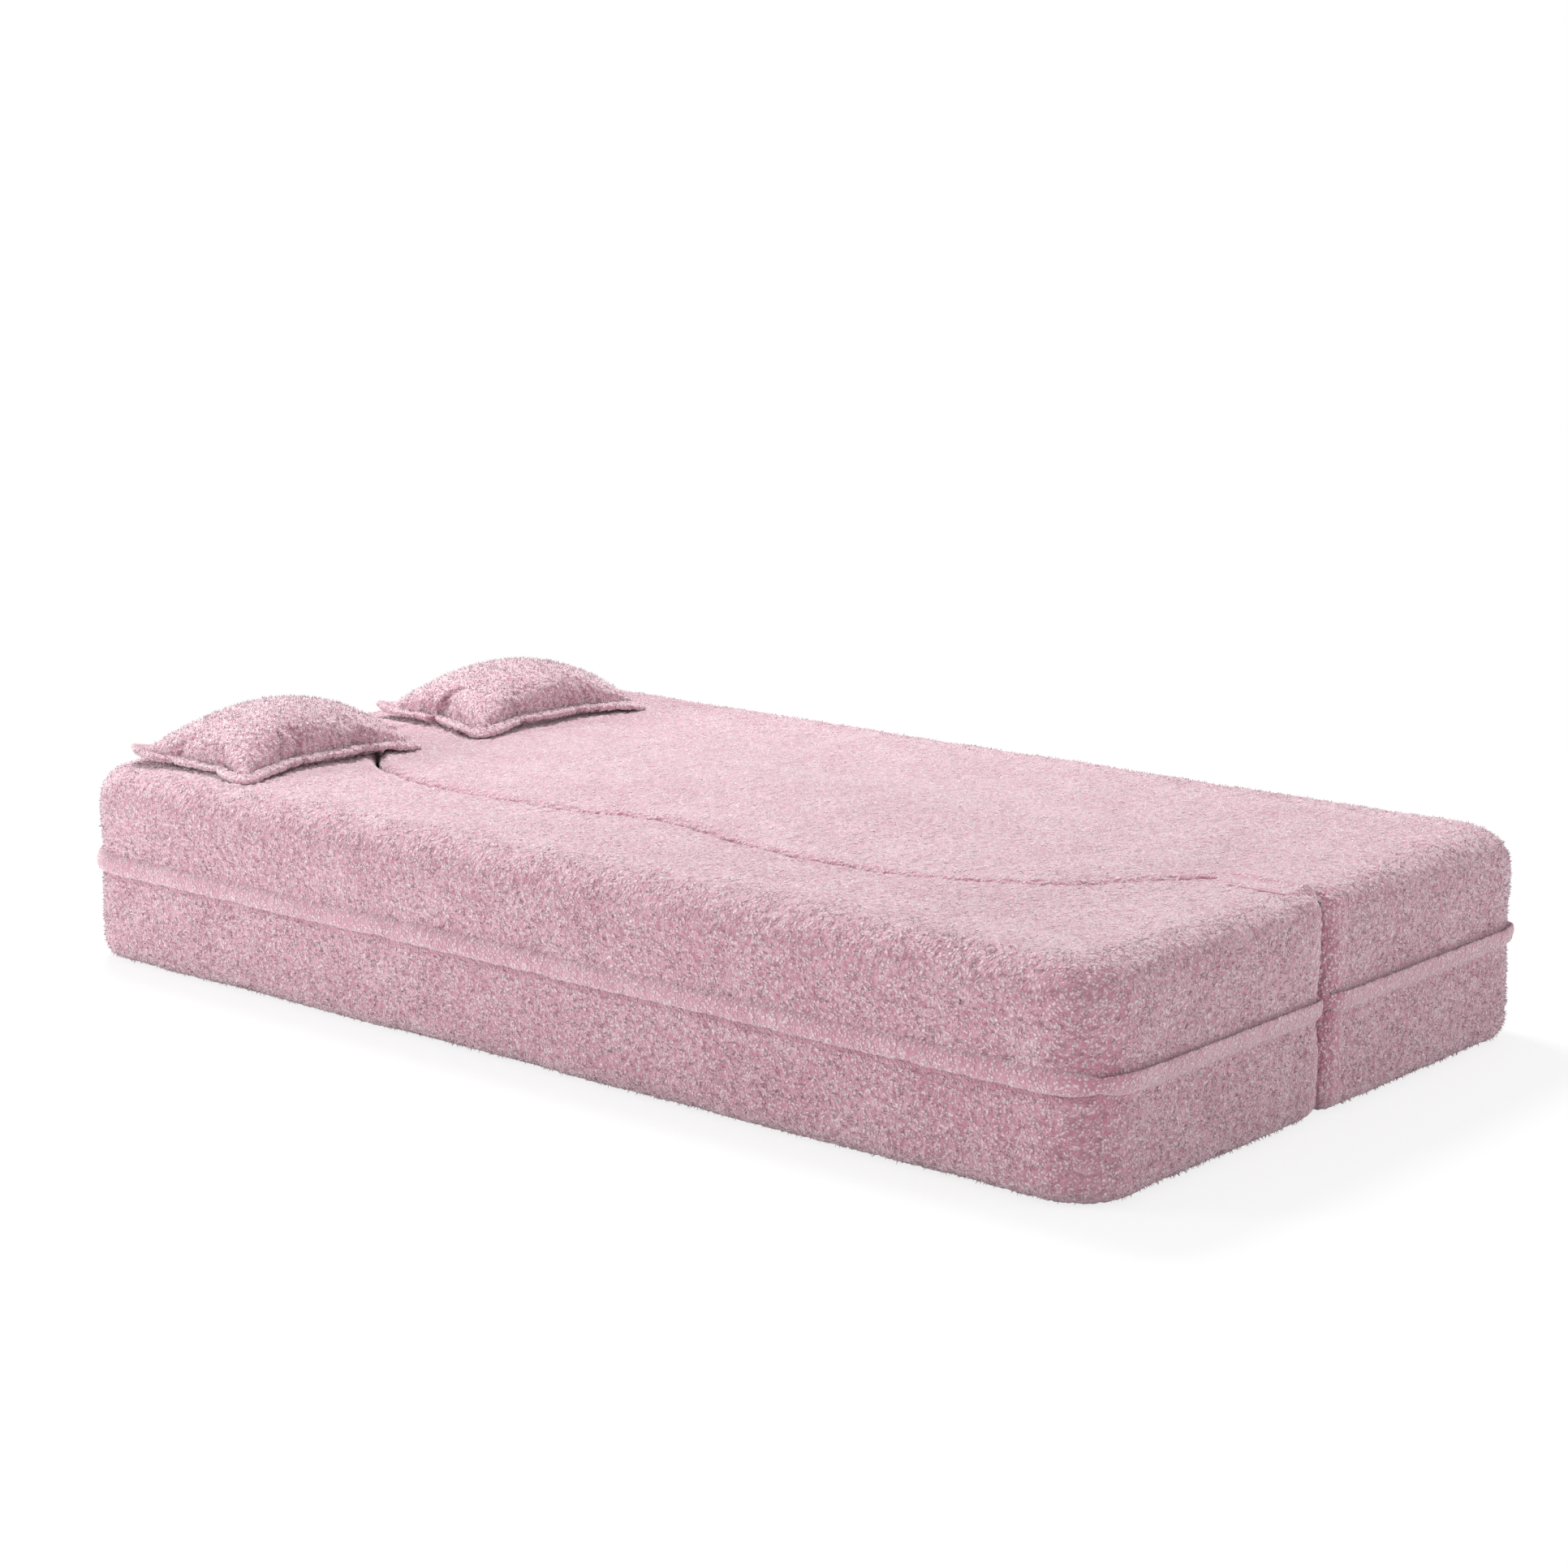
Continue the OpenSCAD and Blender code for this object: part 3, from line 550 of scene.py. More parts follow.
tuft_mesh = tree.nodes.new("ShaderNodeAttribute")
tuft_mesh.attribute_name = "tuft"
tuft_fibres = texture(tree, "Noise", Scale=420, Detail=3, Roughness=0.65)
patches = texture(tree, "Noise", Scale=14, Detail=3)
tree.links.new(bend_noise.outputs["Color"], bend_scale.inputs[0])
tree.links.new(bend_scale.outputs[0], bend_add.inputs[0])
tree.links.new(grain_place.outputs["Object"], bend_add.inputs[1])
tree.links.new(bend_add.outputs[0], tuft_cells.inputs["Vector"])
tree.links.new(grain_in.outputs["Tuft Scale"], tuft_cells.inputs["Scale"])
cell_fall = math_node(tree, "MULTIPLY", tuft_cells.outputs["Distance"], curl_fall)
tuft_dome = math_node(tree, "SUBTRACT", 1.0, cell_fall, clamp=True)
fibre_part = math_node(tree, "MULTIPLY", tuft_fibres.outputs["Fac"], fibre_share)
tuft_height = math_node(tree, "ADD", tuft_dome, fibre_part)
tree.links.new(tuft_height, grain_out.inputs["Height"])
curl_part = math_node(tree, "MULTIPLY", tuft_mesh.outputs["Fac"], curl_share)
both_parts = math_node(tree, "ADD", curl_part, tuft_height)
steep_parts = math_node(tree, "MULTIPLY", both_parts, shade_slope)
shade_part = math_node(tree, "SUBTRACT", steep_parts, shade_start, clamp=True)
patch_part = math_node(tree, "SUBTRACT", patches.outputs["Fac"], 0.5)
patch_scaled = math_node(tree, "MULTIPLY", patch_part, patch_share)
light_share = math_node(tree, "ADD", shade_part, patch_scaled, clamp=True)
# Painted shade: the Shade colour where the curls are low, the Light colour on their tips.
grain_and_shade_colour = two_tones(tree, light_share, grain_in.outputs["Shade"], grain_in.outputs["Light"])
tree.links.new(grain_and_shade_colour, grain_out.inputs["Color"])


def fleece(name, light, shade, tuft_scale):
    """Teddy fleece: pale tuft tips over a pile darkened by painted shade between the curls, with random
    patches of tone, a woolly bump and a soft sheen.
    """
    material, tree = new_material(name)
    grain_and_shade = tree.nodes.new("ShaderNodeGroup")
    grain_and_shade.node_tree = fleece_grain
    for setting, value in (("Tuft Scale", tuft_scale), ("Light", (*light, 1)), ("Shade", (*shade, 1))):
        grain_and_shade.inputs[setting].default_value = value
    cloth = surface_of(tree, grain_and_shade.outputs["Color"], grain_and_shade.outputs["Height"], 1, curl_bump, 0.95)
    for setting, value in (("Specular IOR Level", 0.15), ("Sheen Weight", 1), ("Sheen Roughness", 0.5),
                           ("Sheen Tint", (1, 1, 1, 1))):
        cloth.inputs[setting].default_value = value
    return material


pink_fleece = fleece("pink_fleece", (0.96, 0.745, 0.80), (0.52, 0.22, 0.30), 230)


def dress(piece, body, slot, *stands_for):
    """Puts a finished piece on its body and hides the CAD solids that it stands for. Its slot, the name of
    its finish, is not used.
    """
    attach(piece, body)
    if stands_for:
        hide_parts(*stands_for)
    return piece


seat_upper = dress(new_piece("seat_upper_cover", *upper_cover(far, 11)), "seat_block", "fleece",
                   "seat_cover_upper")

# The seat block's lower cover: the same fleece, from the seam down and rolled under the bottom edge.
# Its hem is turned in and sewn to the base cloth.
base_edge_r = 32 * mm
belt_base = 142 * mm
hem_w = 12 * mm
hem_z = 2.3 * mm
hem_turn = 3 * mm
low_draw_h = 50 * mm
floor_gap = 0.4 * mm
# Painted shade below the flap: the height of its band, and how far it lowers the curl heights that the finish
# darkens by.
flap_painted_shade_h = 13 * mm
flap_painted_shade = 1.8


def lower_cover(side, seed):
    """Rings from the hem, round the bottom edge, up to the drawn-in seam and back inside the edge. On the
    long sides, painted shade darkens the pile in a band below the flap's hanging edge."""
    rings = [ring_at(side, base_edge_r + hem_w, hem_z + hem_turn), ring_at(side, base_edge_r + hem_w, hem_z)]
    rings.append(ring_at(side, base_edge_r + hem_w / 2, hem_z))
    normals = [0 * ring_normals(side)] * 3
    for turn in np.linspace(math.pi / 2, 0, roll_count // 2):
        inset, rise = rolled(base_edge_r, turn)
        rings.append(ring_at(side, inset, hem_z + rise))
        normals.append(ring_normals(side, -turn))
    low = hem_z + base_edge_r
    high = seam_z - seam_gap
    for t in np.linspace(0, 1, wall_count)[1:]:
        z = low + (high - low) * t
        rings.append(ring_at(side, side_draw * ease_in((z - belt_base) / low_draw_h + 1), z))
        normals.append(ring_normals(side))
    rings += [ring_at(side, side_draw + cover_t, high), ring_at(side, side_draw + cover_t, belt_base)]
    normals = np.concatenate(normals + [0 * ring_normals(side)] * 2)
    quads = band_quads(ring_numbers(len(rings), len(rings[0])))
    points = np.concatenate(rings)
    depth = pile_depth * calm_share(points)
    points, quads, tuft = with_pile(swollen(points, normals, seed), quads, depth, seed, normals)
    points[:, 2] = np.maximum(points[:, 2], floor_gap)
    on_side = np.tile(np.abs(outlines[side][1][:, 1]), len(rings))
    # Painted shade: the curl heights fall in a band under the flap's edge on the long sides, so the finish
    # darkens it.
    return points, quads, tuft - flap_painted_shade * on_side * (1 - ease_in((belt_base - points[:, 2]) / flap_painted_shade_h))


seat_lower = dress(new_piece("seat_lower_cover", *lower_cover(far, 21)), "seat_block", "fleece",
                   "seat_cover_lower")

# The back block's two covers, of the same fleece. The block is U-shaped, so its split side is hollow.
back_upper = dress(new_piece("back_upper_cover", *upper_cover(near, 31)), "back_block", "fleece",
                   "back_cover_upper")
back_lower = dress(new_piece("back_lower_cover", *lower_cover(near, 41)), "back_block", "fleece",
                   "back_cover_lower")

# The fleece's longest fibres, which stand up from the blocks' outer sides and rolled edges.
# Each is a thin closed spike that leans at random. The blocks' fibres end below the plane in which the
# two tops meet when the back is folded.
fibre_r = 0.9 * mm
fibre_l = 4.4 * mm
fibre_root = 1.2 * mm
fibre_lean = 0.7
fibre_spread = 0.4
fibre_sizes = (0.7, 1.2)
# Painted shade at the fibres' roots: low curl heights at the three base corners darken them, and the tip is
# pale.
fibre_shaded_roots = [0.3, 0.3, 0.3, 1.0]
side_fibres = 13000
open_start = 90 * mm
open_change = 70 * mm
hem_clear = 6 * mm
flap_clear = 4 * mm
pressed_z = bed_height + 2.5 * mm
lie_gap = 0.6 * mm


def open_side(side, places):
    """How many fibres stand at places: the full number on a block's outer side and ends, fewer and fewer
    over the edge above them, and none on the split or on the belt."""
    x, y, z = places.T
    outer = ease_in((np.maximum(np.abs(x) - half_l, side * y - half_w) + open_start) / open_change)
    clear = (side * (y - fold_y) > split_corner_r + block_gap) & (z > hem_clear)
    return outer * (clear & (np.abs(z - seam_z) > calm_half_h + flap_clear))


def fibres(piece, share, count, seed, ceiling=math.inf):
    """Spikes on a fleece piece, spread by the faces' areas and a share: each has a base of three corners
    on a circle, sunk in the pile, and a tip along the face's normal, leant sideways by a random part.
    No tip is over the ceiling or in the floor."""
    random = np.random.default_rng(seed)
    points = np.empty(3 * len(piece.data.vertices), np.float32)
    piece.data.vertices.foreach_get("co", points)
    corners = np.empty(len(piece.data.loops), np.int32)
    piece.data.loops.foreach_get("vertex_index", corners)
    faces = points.reshape(-1, 3)[corners.reshape(-1, 4)].astype(float)
    area = np.linalg.norm(np.cross(faces[:, 2] - faces[:, 0], faces[:, 3] - faces[:, 1]), axis=1)
    running = np.cumsum(area * share(faces.mean(axis=1)))
    faces = faces[np.searchsorted(running, random.uniform(0, running[-1], count))]
    across, down = faces[:, 2] - faces[:, 0], faces[:, 3] - faces[:, 1]
    normal = np.cross(across, down)
    normal /= np.linalg.norm(normal, axis=1)[:, None]
    first = across / np.linalg.norm(across, axis=1)[:, None]
    second = np.cross(normal, first)
    place = faces.mean(axis=1) + random.uniform(-fibre_spread, fibre_spread, (count, 1)) * across
    place = place + random.uniform(-fibre_spread, fibre_spread, (count, 1)) * down
    turn = random.uniform(0, 2 * math.pi, (count, 1))
    size = random.uniform(*fibre_sizes, (count, 1))
    root = place - fibre_root * normal
    base = [root + fibre_r * size * (np.cos(turn + part) * first + np.sin(turn + part) * second)
            for part in (0, 2 * math.pi / 3, 4 * math.pi / 3)]
    sideways = random.uniform(-1, 1, (count, 1)) * first
    sideways = sideways + random.uniform(-1, 1, (count, 1)) * second
    tip = place + fibre_l * size * (normal + fibre_lean * sideways)
    tip[:, 2] = np.clip(tip[:, 2], lie_gap, ceiling)
    number = 4 * np.arange(count)[:, None]
    spikes = np.concatenate([number + face for face in ((0, 1, 3), (1, 2, 3), (2, 0, 3), (2, 1, 0))])
    return np.stack(base + [tip], 1).reshape(-1, 3), spikes, np.tile(fibre_shaded_roots, count)


for cover, body, side, seed in ((seat_upper, "seat_block", far, 111), (seat_lower, "seat_block", far, 112),
                                (back_upper, "back_block", near, 113), (back_lower, "back_block", near, 114)):
    fuzz = fibres(cover, lambda places: open_side(side, places), side_fibres, seed, pressed_z)
    dress(new_piece(cover.name.replace("cover", "fibres"), *fuzz), body, "fleece")

# The flap that hides each block's seam and zip: a folded strip of fleece, sewn on along its top edge.
# It hangs free below the seam, stands out on the outer sides and is pressed flat along the split.
# On the long sides its edge hangs down, and on the ends it lies turned up.
flap_reach = 10.5 * mm
flap_flat_reach = 3 * mm
flap_wave = 90 * mm
flap_wave_h = 1.2 * mm
flap_wave_z = 100 * mm
flap_wave_out = 0.12
end_facing = 0.55
end_change = 0.4
flap_pile = 0.6 * pile_depth
hanging_shares = [(-0.2, 1.15), (0.15, 1.08), (0.4, 1), (0.65, 0.9), (0.85, 0.74), (0.97, 0.55), (1, 0.33),
                  (0.96, 0.14), (0.84, 0.02), (0.7, 0.04), (0.58, 0.2), (0.4, 0.34), (0.1, 0.38), (-0.2, 0.4)]
turned_up_shares = [(out, 1 - up) for out, up in hanging_shares[::-1]]
blocks = ((far, "seat_block", "seat"), (near, "back_block", "back"))


def flap(side, seed):
    """The flap's rounded profile carried round the block: out by its reach and up the belt, with a slow
    wave. The profile runs from the hanging one to the turned-up one where the outline faces an end."""
    reach = flap_reach + (flap_flat_reach - flap_reach) * outlines[side][3]
    wave = lumps(ring_at(side, 0, flap_wave_z), flap_wave, seed) * (1 - outlines[side][3])
    on_end = ease_in((np.abs(outlines[side][1][:, 0]) - end_facing) / end_change)
    rings = []
    for hang, turned in zip(hanging_shares, turned_up_shares):
        out = hang[0] + (turned[0] - hang[0]) * on_end
        up = hang[1] + (turned[1] - hang[1]) * on_end
        rings.append(ring_at(side, side_draw - reach * out * (1 + flap_wave_out * wave),
                             belt_base + (belt_top - belt_base) * up + flap_wave_h * wave))
    loops = ring_numbers(len(rings), len(rings[0]))
    return with_pile(np.concatenate(rings[::-1]), band_quads(loops + loops[:1]), flap_pile, seed)


for side, body, label in blocks:
    flap_piece = new_piece(f"{label}_seam_flap", *flap(side, 51 + side))
    dress(flap_piece, body, "fleece", f"{label}_zip_flap")

# The foam inside each block: a firm core below and a softer slab on it, cut to the cover's inside.
# The two grades differ in their colour and in the size of their open cells.
cavity = 8.3 * mm
core_top = 190 * mm
slab_gap = 0.3 * mm
pore_depth = 0.6 * mm
foam_step = 8


def foam(name, light, shade, pore_scale):
    """Cut foam: fine open pores as a bump, and a slight mottle."""
    material, tree = new_material(name)
    pores = texture(tree, "Voronoi", Scale=pore_scale)
    mottle = texture(tree, "Noise", Scale=25)
    tint = two_tones(tree, mottle.outputs["Fac"], shade, light)
    surface_of(tree, tint, pores.outputs["Distance"], 0.5, pore_depth, 0.9)
    return material


soft_foam = foam("soft_foam", (0.90, 0.86, 0.70), (0.80, 0.74, 0.56), 900)
firm_foam = foam("firm_foam", (0.80, 0.76, 0.48), (0.68, 0.63, 0.38), 1300)


def thin_numbers(side):
    """The numbers of the ring's points that a foam edge needs, about every eighth along each of its four
    stretches, and how many lie along the block and across it."""
    last_column = along_count + 2 * corner_count
    last_row = block_rows[side]
    along = np.round(np.linspace(0, last_column, last_column // foam_step + 1)).astype(int)
    across = np.round(np.linspace(0, last_row, last_row // foam_step + 1)).astype(int)
    north_last = last_column + last_row
    numbers = np.concatenate([along, last_column + across[1:-1], north_last + (last_column - along)[::-1],
                              north_last + last_column + (last_row - across)[::-1][1:-1]])
    return numbers, len(along), len(across)


def cut_piece(name, side, levels, material):
    """A piece cut to a block's outline: rings up its side, and a flat grid over its underside and top."""
    numbers, columns, rows = thin_numbers(side)
    rings = [ring[numbers] for ring in levels]
    size = len(numbers)
    inner = np.arange(columns * rows).reshape(columns, rows)
    low_grid = len(rings) * size + inner
    high_grid = low_grid + inner.size
    loops = ring_numbers(len(rings), size)
    quads = np.concatenate([band_quads(loops), grid_quads(low_grid)[:, ::-1], grid_quads(high_grid)])
    joined = np.arange(len(rings) * size + 2 * inner.size)
    joined[border_numbers(low_grid)] = loops[0]
    joined[border_numbers(high_grid)] = loops[-1]
    grids = [grid_inside(ring, columns, rows).reshape(-1, 3) for ring in (rings[0], rings[-1])]
    used, quads = np.unique(joined[quads], return_inverse=True)
    points = np.concatenate(rings + grids)[used]
    return new_piece(name, points, quads.reshape(-1, 4), material=material, smooth=False)


for side, body, label in blocks:
    wall = side_draw + cavity
    radius = roll_radius(side, top_edge_r, split_edge_r) - cavity
    slab_levels = [ring_at(side, wall, core_top + slab_gap)]
    for turn in np.linspace(0, math.pi / 2, 7):
        inset, fall = rolled(radius, turn)
        slab_levels.append(ring_at(side, cavity + inset, bed_height - cavity - fall))
    slab = cut_piece(f"{label}_comfort_foam", side, slab_levels, soft_foam)
    dress(slab, body, "soft_foam", f"{label}_foam_comfort")
    core_levels = []
    for turn in np.linspace(math.pi / 2, 0, 6):
        inset, rise = rolled(base_edge_r - cavity, turn)
        core_levels.append(ring_at(side, cavity + inset, hem_z + cavity + rise))
    core_levels += [ring_at(side, wall, belt_base), ring_at(side, wall, core_top)]
    core = cut_piece(f"{label}_core_foam", side, core_levels, firm_foam)
    dress(core, body, "firm_foam", f"{label}_foam_core")

# The non-slip cloth under each block: a dark, close weave with rows of small rubber dots.
# It is cut to the outline inside the rolled bottom edge, and stretched between the hems.
base_cloth_t = 2 * mm
dot_pitch = 9 * mm
dot_h = 0.8 * mm
dot_r = 0.24
weave_share = 0.4
dotted_cloth, tree = new_material("dotted_base_cloth")
dot_cells = texture(tree, "Voronoi", Scale=1 / dot_pitch, Randomness=0)
dot_cells.voronoi_dimensions = "2D"
weave = texture(tree, "Noise", Scale=900)
dot_share = math_node(tree, "LESS_THAN", dot_cells.outputs["Distance"], dot_r)
weave_part = math_node(tree, "MULTIPLY", weave.outputs["Fac"], weave_share)
cloth_height = math_node(tree, "ADD", dot_share, weave_part)
cloth_colour = two_tones(tree, dot_share, (0.16, 0.15, 0.16), (0.42, 0.40, 0.42))
surface_of(tree, cloth_colour, cloth_height, 0.6, dot_h, 0.8)


for side, body, label in blocks:
    cloth_levels = [ring_at(side, base_edge_r, 0), ring_at(side, base_edge_r, base_cloth_t)]
    cloth = cut_piece(f"{label}_non_slip_cloth", side, cloth_levels, dotted_cloth)
    dress(cloth, body, "base_cloth", f"{label}_base_cloth")

# The zips: woven tape with a nylon coil on it, and a metal slider whose tab lies back over the coil.
# The blocks' zips run along the bed under the flap, the pillows' across it under the flange.
coil_depth = 0.4 * mm
scratch_depth = 0.2 * mm


def ribs(tree, along, scale):
    """Straight ribs that follow one another along an axis of the object."""
    node = texture(tree, "Wave", Scale=scale)
    node.bands_direction = along
    return node.outputs["Fac"]


def zip_finish(name, along):
    """Woven tape and coil: fine cross ribs along the zip, and threads of two tones."""
    material, tree = new_material(name)
    threads = texture(tree, "Noise", Scale=1400)
    tint = two_tones(tree, threads.outputs["Fac"], (0.50, 0.30, 0.35), (0.66, 0.46, 0.51))
    surface_of(tree, tint, ribs(tree, along, 160), 0.6, coil_depth, 0.6)
    return material


def dress_node(name, material):
    """Gives a CAD node that stays its finish."""
    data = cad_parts[name].data
    data.materials.clear()
    data.materials.append(material)


long_zip = zip_finish("long_zip_tape", "X")
cross_zip = zip_finish("cross_zip_tape", "Y")
for label in ("seat", "back"):
    dress_node(f"{label}_zip_tape", long_zip)
for label in ("near", "far"):
    dress_node(f"{label}_pillow_zip", cross_zip)

slider_metal, tree = new_material("zip_slider_metal")
handling = texture(tree, "Noise", Scale=300, Detail=4)
rough_share = math_node(tree, "MULTIPLY", handling.outputs["Fac"], 0.3)
roughness = math_node(tree, "ADD", rough_share, 0.2)
metal = surface_of(tree, (0.62, 0.61, 0.62), handling.outputs["Fac"], 0.15, scratch_depth, roughness)
metal.inputs["Metallic"].default_value = 1
for name in ("seat_zip_slider", "back_zip_slider", "near_pillow_slider", "far_pillow_slider"):
    dress_node(name, slider_metal)

# The fold hinges at both ends of the fold line: webbing leaves, sewn to the two covers, whose loops
# share a cord. A strip of the same fleece is sewn over each and hides it.
weave_depth = 0.5 * mm
webbing_finish, tree = new_material("hinge_webbing")
warp = ribs(tree, "Y", 180)
weft = ribs(tree, "X", 260)
webbing_height = math_node(tree, "MULTIPLY", warp, weft)
webbing_tint = two_tones(tree, webbing_height, (0.44, 0.27, 0.32), (0.66, 0.47, 0.52))
surface_of(tree, webbing_tint, webbing_height, 0.7, weave_depth, 0.75)
for name in ("seat_hinge_leaf", "back_hinge_leaf", "hinge_cord"):
    dress_node(name, webbing_finish)

hinge_x = 852 * mm
strip_half_l = 76 * mm
strip_half_w = 52 * mm
strip_top = 303.2 * mm
strip_ridge = 308.6 * mm
strip_edge = 296 * mm
strip_t = 3 * mm
strip_count = (51, 43)
side_fall = 16 * mm
end_fall = 20 * mm
ridge_w = 9 * mm
end_dive = 14 * mm
split_lift = 9 * mm
lift_w = 10 * mm
strip_pile = 0.6 * pile_depth


def sheet_quads(number, loops):
    """Faces of an upper sheet over a grid of point numbers, of a lower one that follows it, and of the
    bands between them."""
    return np.concatenate([grid_quads(number), grid_quads(number + number.size)[:, ::-1], band_quads(loops)])


def hinge_strip(middle_x, seed):
    """A closed sheet over a hinge. Its height is level over the leaves, rises to a ridge over the loops,
    falls at its long edges into the covers' pile, and dives at its ends, less deeply over the split."""
    x = np.linspace(-strip_half_l, strip_half_l, strip_count[0])
    y = np.linspace(-strip_half_w, strip_half_w, strip_count[1])
    gx, gy = np.meshgrid(x, y, indexing="ij")
    side_share = ease_in((strip_half_w - np.abs(gy)) / side_fall)
    end_share = ease_in((strip_half_l - np.abs(gx)) / end_fall)
    ridge = (strip_ridge - strip_top) * np.exp(-(gy / ridge_w) ** 2)
    dive = end_dive - split_lift * np.exp(-(gy / lift_w) ** 2)
    level = strip_edge + (strip_top - strip_edge + ridge) * side_share * end_share - dive * (1 - end_share)
    top = np.stack([gx + middle_x, gy + fold_y, level], 2).reshape(-1, 3)
    tuft = tuft_heights(top, seed)
    top[:, 2] += strip_pile * (tuft - 0.5)
    low = top - [0, 0, strip_t]
    number = np.arange(gx.size).reshape(gx.shape)
    edge = border_numbers(number)
    quads = sheet_quads(number, [edge + gx.size, edge])
    return np.concatenate([top, low]), quads, np.tile(tuft, 2)


for label, middle_x in (("head", -hinge_x), ("foot", hinge_x)):
    strip = new_piece(f"{label}_hinge_fleece", *hinge_strip(middle_x, 61))
    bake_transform(strip)

# The two pillows: a fleece case of two panels, blown up by its fibre fill, with a flat flange round it.
# Its swell is a cloth simulation of the panels under pressure, evened out by a full dome, and its
# underside lies flat on the bed.
pillow_half_w = 139 * mm
pillow_half_l = 192 * mm
pillow_h = 88 * mm
flange_w = 18 * mm
flange_t = 8 * mm
corner_cut = 0.07
fill_share = 0.8
flange_drop = 9 * mm
flat_rise = 3 * mm
dome_power = 0.62
press_start = 0.08
press_change = 0.3
case_pile = 0.85 * pile_depth
crease_place = 70 * mm
crease_reach = 38 * mm
crease_h = 1.8 * mm
crease_waves = 11
stuffed_w = pillow_half_w - flange_w
stuffed_l = pillow_half_l - flange_w
seam_pinch = 2.2 * mm
seam_low = 9 * mm
seam_head_rise = 9 * mm
seam_curl = 7 * mm
seam_arch = 13 * mm
rim_wave = 45 * mm
rim_wave_h = 1.6 * mm
rim_round = 3 * mm
# Painted light on the pillows: their curl heights are raised, so the whole case shows paler, to make up for
# the shade on their flanks.
pillow_painted_light = 0.4
pillow_fibres = 4500
fuzz_low = 12 * mm
zip_clear = 12 * mm
panel_count = (39, 55)
fine_count = (101, 145)
flange_count = 7
swell_steps = 35
pillow_places = {"near": (-762 * mm, -282 * mm, math.radians(1)),
                 "far": (-744 * mm, 205 * mm, math.radians(-3))}


def case_swell():
    """The blown-up case over a grid of its panel: points of the upper panel, whose edge is its seam.
    Two flat panels share their border, and cloth pressure swells them."""
    u = np.linspace(-1, 1, panel_count[0])
    v = np.linspace(-1, 1, panel_count[1])
    gu, gv = np.meshgrid(u, v, indexing="ij")
    inner = (1 - gu ** 2) * (1 - gv ** 2)
    flat = np.stack([gu * stuffed_w, gv * stuffed_l, flat_rise * inner ** 0.5], 2)
    number = np.arange(gu.size).reshape(gu.shape)
    below = number.copy()
    below[1:-1, 1:-1] = gu.size + np.arange(below[1:-1, 1:-1].size).reshape(below[1:-1, 1:-1].shape)
    points = np.concatenate([flat.reshape(-1, 3), flat[1:-1, 1:-1].reshape(-1, 3) * [1, 1, -1]])
    quads = np.concatenate([grid_quads(number), grid_quads(below)[:, ::-1]])
    panels = new_piece("case_panels", points, quads)
    sewn = panels.modifiers.new("sewn_case", "CLOTH")
    for name, value in (("quality", 8), ("mass", 0.15), ("tension_stiffness", 12),
                        ("compression_stiffness", 12), ("shear_stiffness", 4), ("bending_stiffness", 0.05),
                        ("use_pressure", True), ("uniform_pressure_force", 6)):
        setattr(sewn.settings, name, value)
    sewn.settings.effector_weights.gravity = 0
    sewn.point_cache.frame_start = 1
    sewn.point_cache.frame_end = 40
    for step in range(1, swell_steps + 1):
        bpy.context.scene.frame_set(step)
    blown = panels.evaluated_get(bpy.context.evaluated_depsgraph_get()).data
    result = np.empty(3 * len(points), np.float32)
    blown.vertices.foreach_get("co", result)
    bpy.data.objects.remove(panels)
    bpy.context.scene.frame_set(1)
    return result.reshape(-1, 3)[:gu.size].astype(float).reshape(*gu.shape, 3)


def between(count, fine):
    """A matrix that reads a row of points at finer stations, on a smooth curve through four of them."""
    at = np.linspace(0, count - 1, fine)
    low = np.clip(np.floor(at).astype(int), 0, count - 2)
    t = at - low
    weights = np.stack([-t + 2 * t ** 2 - t ** 3, 2 - 5 * t ** 2 + 3 * t ** 3,
                        t + 4 * t ** 2 - 3 * t ** 3, t ** 3 - t ** 2], 1) / 2
    matrix = np.zeros((fine, count))
    for k in range(4):
        np.add.at(matrix, (np.arange(fine), np.clip(low + k - 1, 0, count - 1)), weights[:, k])
    return matrix


panel = case_swell()
panel = np.einsum("ai,ijk,bj->abk", between(panel_count[0], fine_count[0]), panel,
                  between(panel_count[1], fine_count[1]))
panel[:, :, :2] -= (panel[:, :, :2].min((0, 1)) + panel[:, :, :2].max((0, 1))) / 2
panel[:, :, :2] *= [stuffed_w, stuffed_l] / panel[:, :, :2].max((0, 1))
fine_u = np.linspace(-1, 1, fine_count[0])[:, None]
fine_v = np.linspace(-1, 1, fine_count[1])[None]
full_dome = ((1 - fine_u ** 2) * (1 - fine_v ** 2)) ** dome_power
cloth_dome = np.clip(panel[:, :, 2] / panel[:, :, 2].max(), 0, 1)
panel[:, :, 2] = (1 - fill_share) * cloth_dome + fill_share * full_dome


def seam_height(u, v):
    """The seam's height: it rises towards the head end with a square, curls up at the corners there with
    a fourth power, and arches over the foot side, by a square along it and a fourth power towards it."""
    arch = seam_arch * (1 - v * v) * ((1 + u) / 2) ** 4
    return seam_low + seam_head_rise * ((1 - u) / 2) ** 2 + seam_curl * (u * v) ** 4 * (1 - u) / 2 + arch


def with_flange(sheet):
    """A panel's grid with the flange's rows round it: each row repeats the border, moved outwards."""
    wide = np.pad(sheet, ((flange_count, flange_count), (flange_count, flange_count), (0, 0)), mode="edge")
    for axis in (0, 1):
        count = wide.shape[axis]
        row = np.arange(count)
        out = np.maximum(row - (count - 1 - flange_count), 0) - np.maximum(flange_count - row, 0)
        shape = [1, 1]
        shape[axis] = count
        wide[:, :, axis] += (out * flange_w / flange_count).reshape(shape)
    return wide


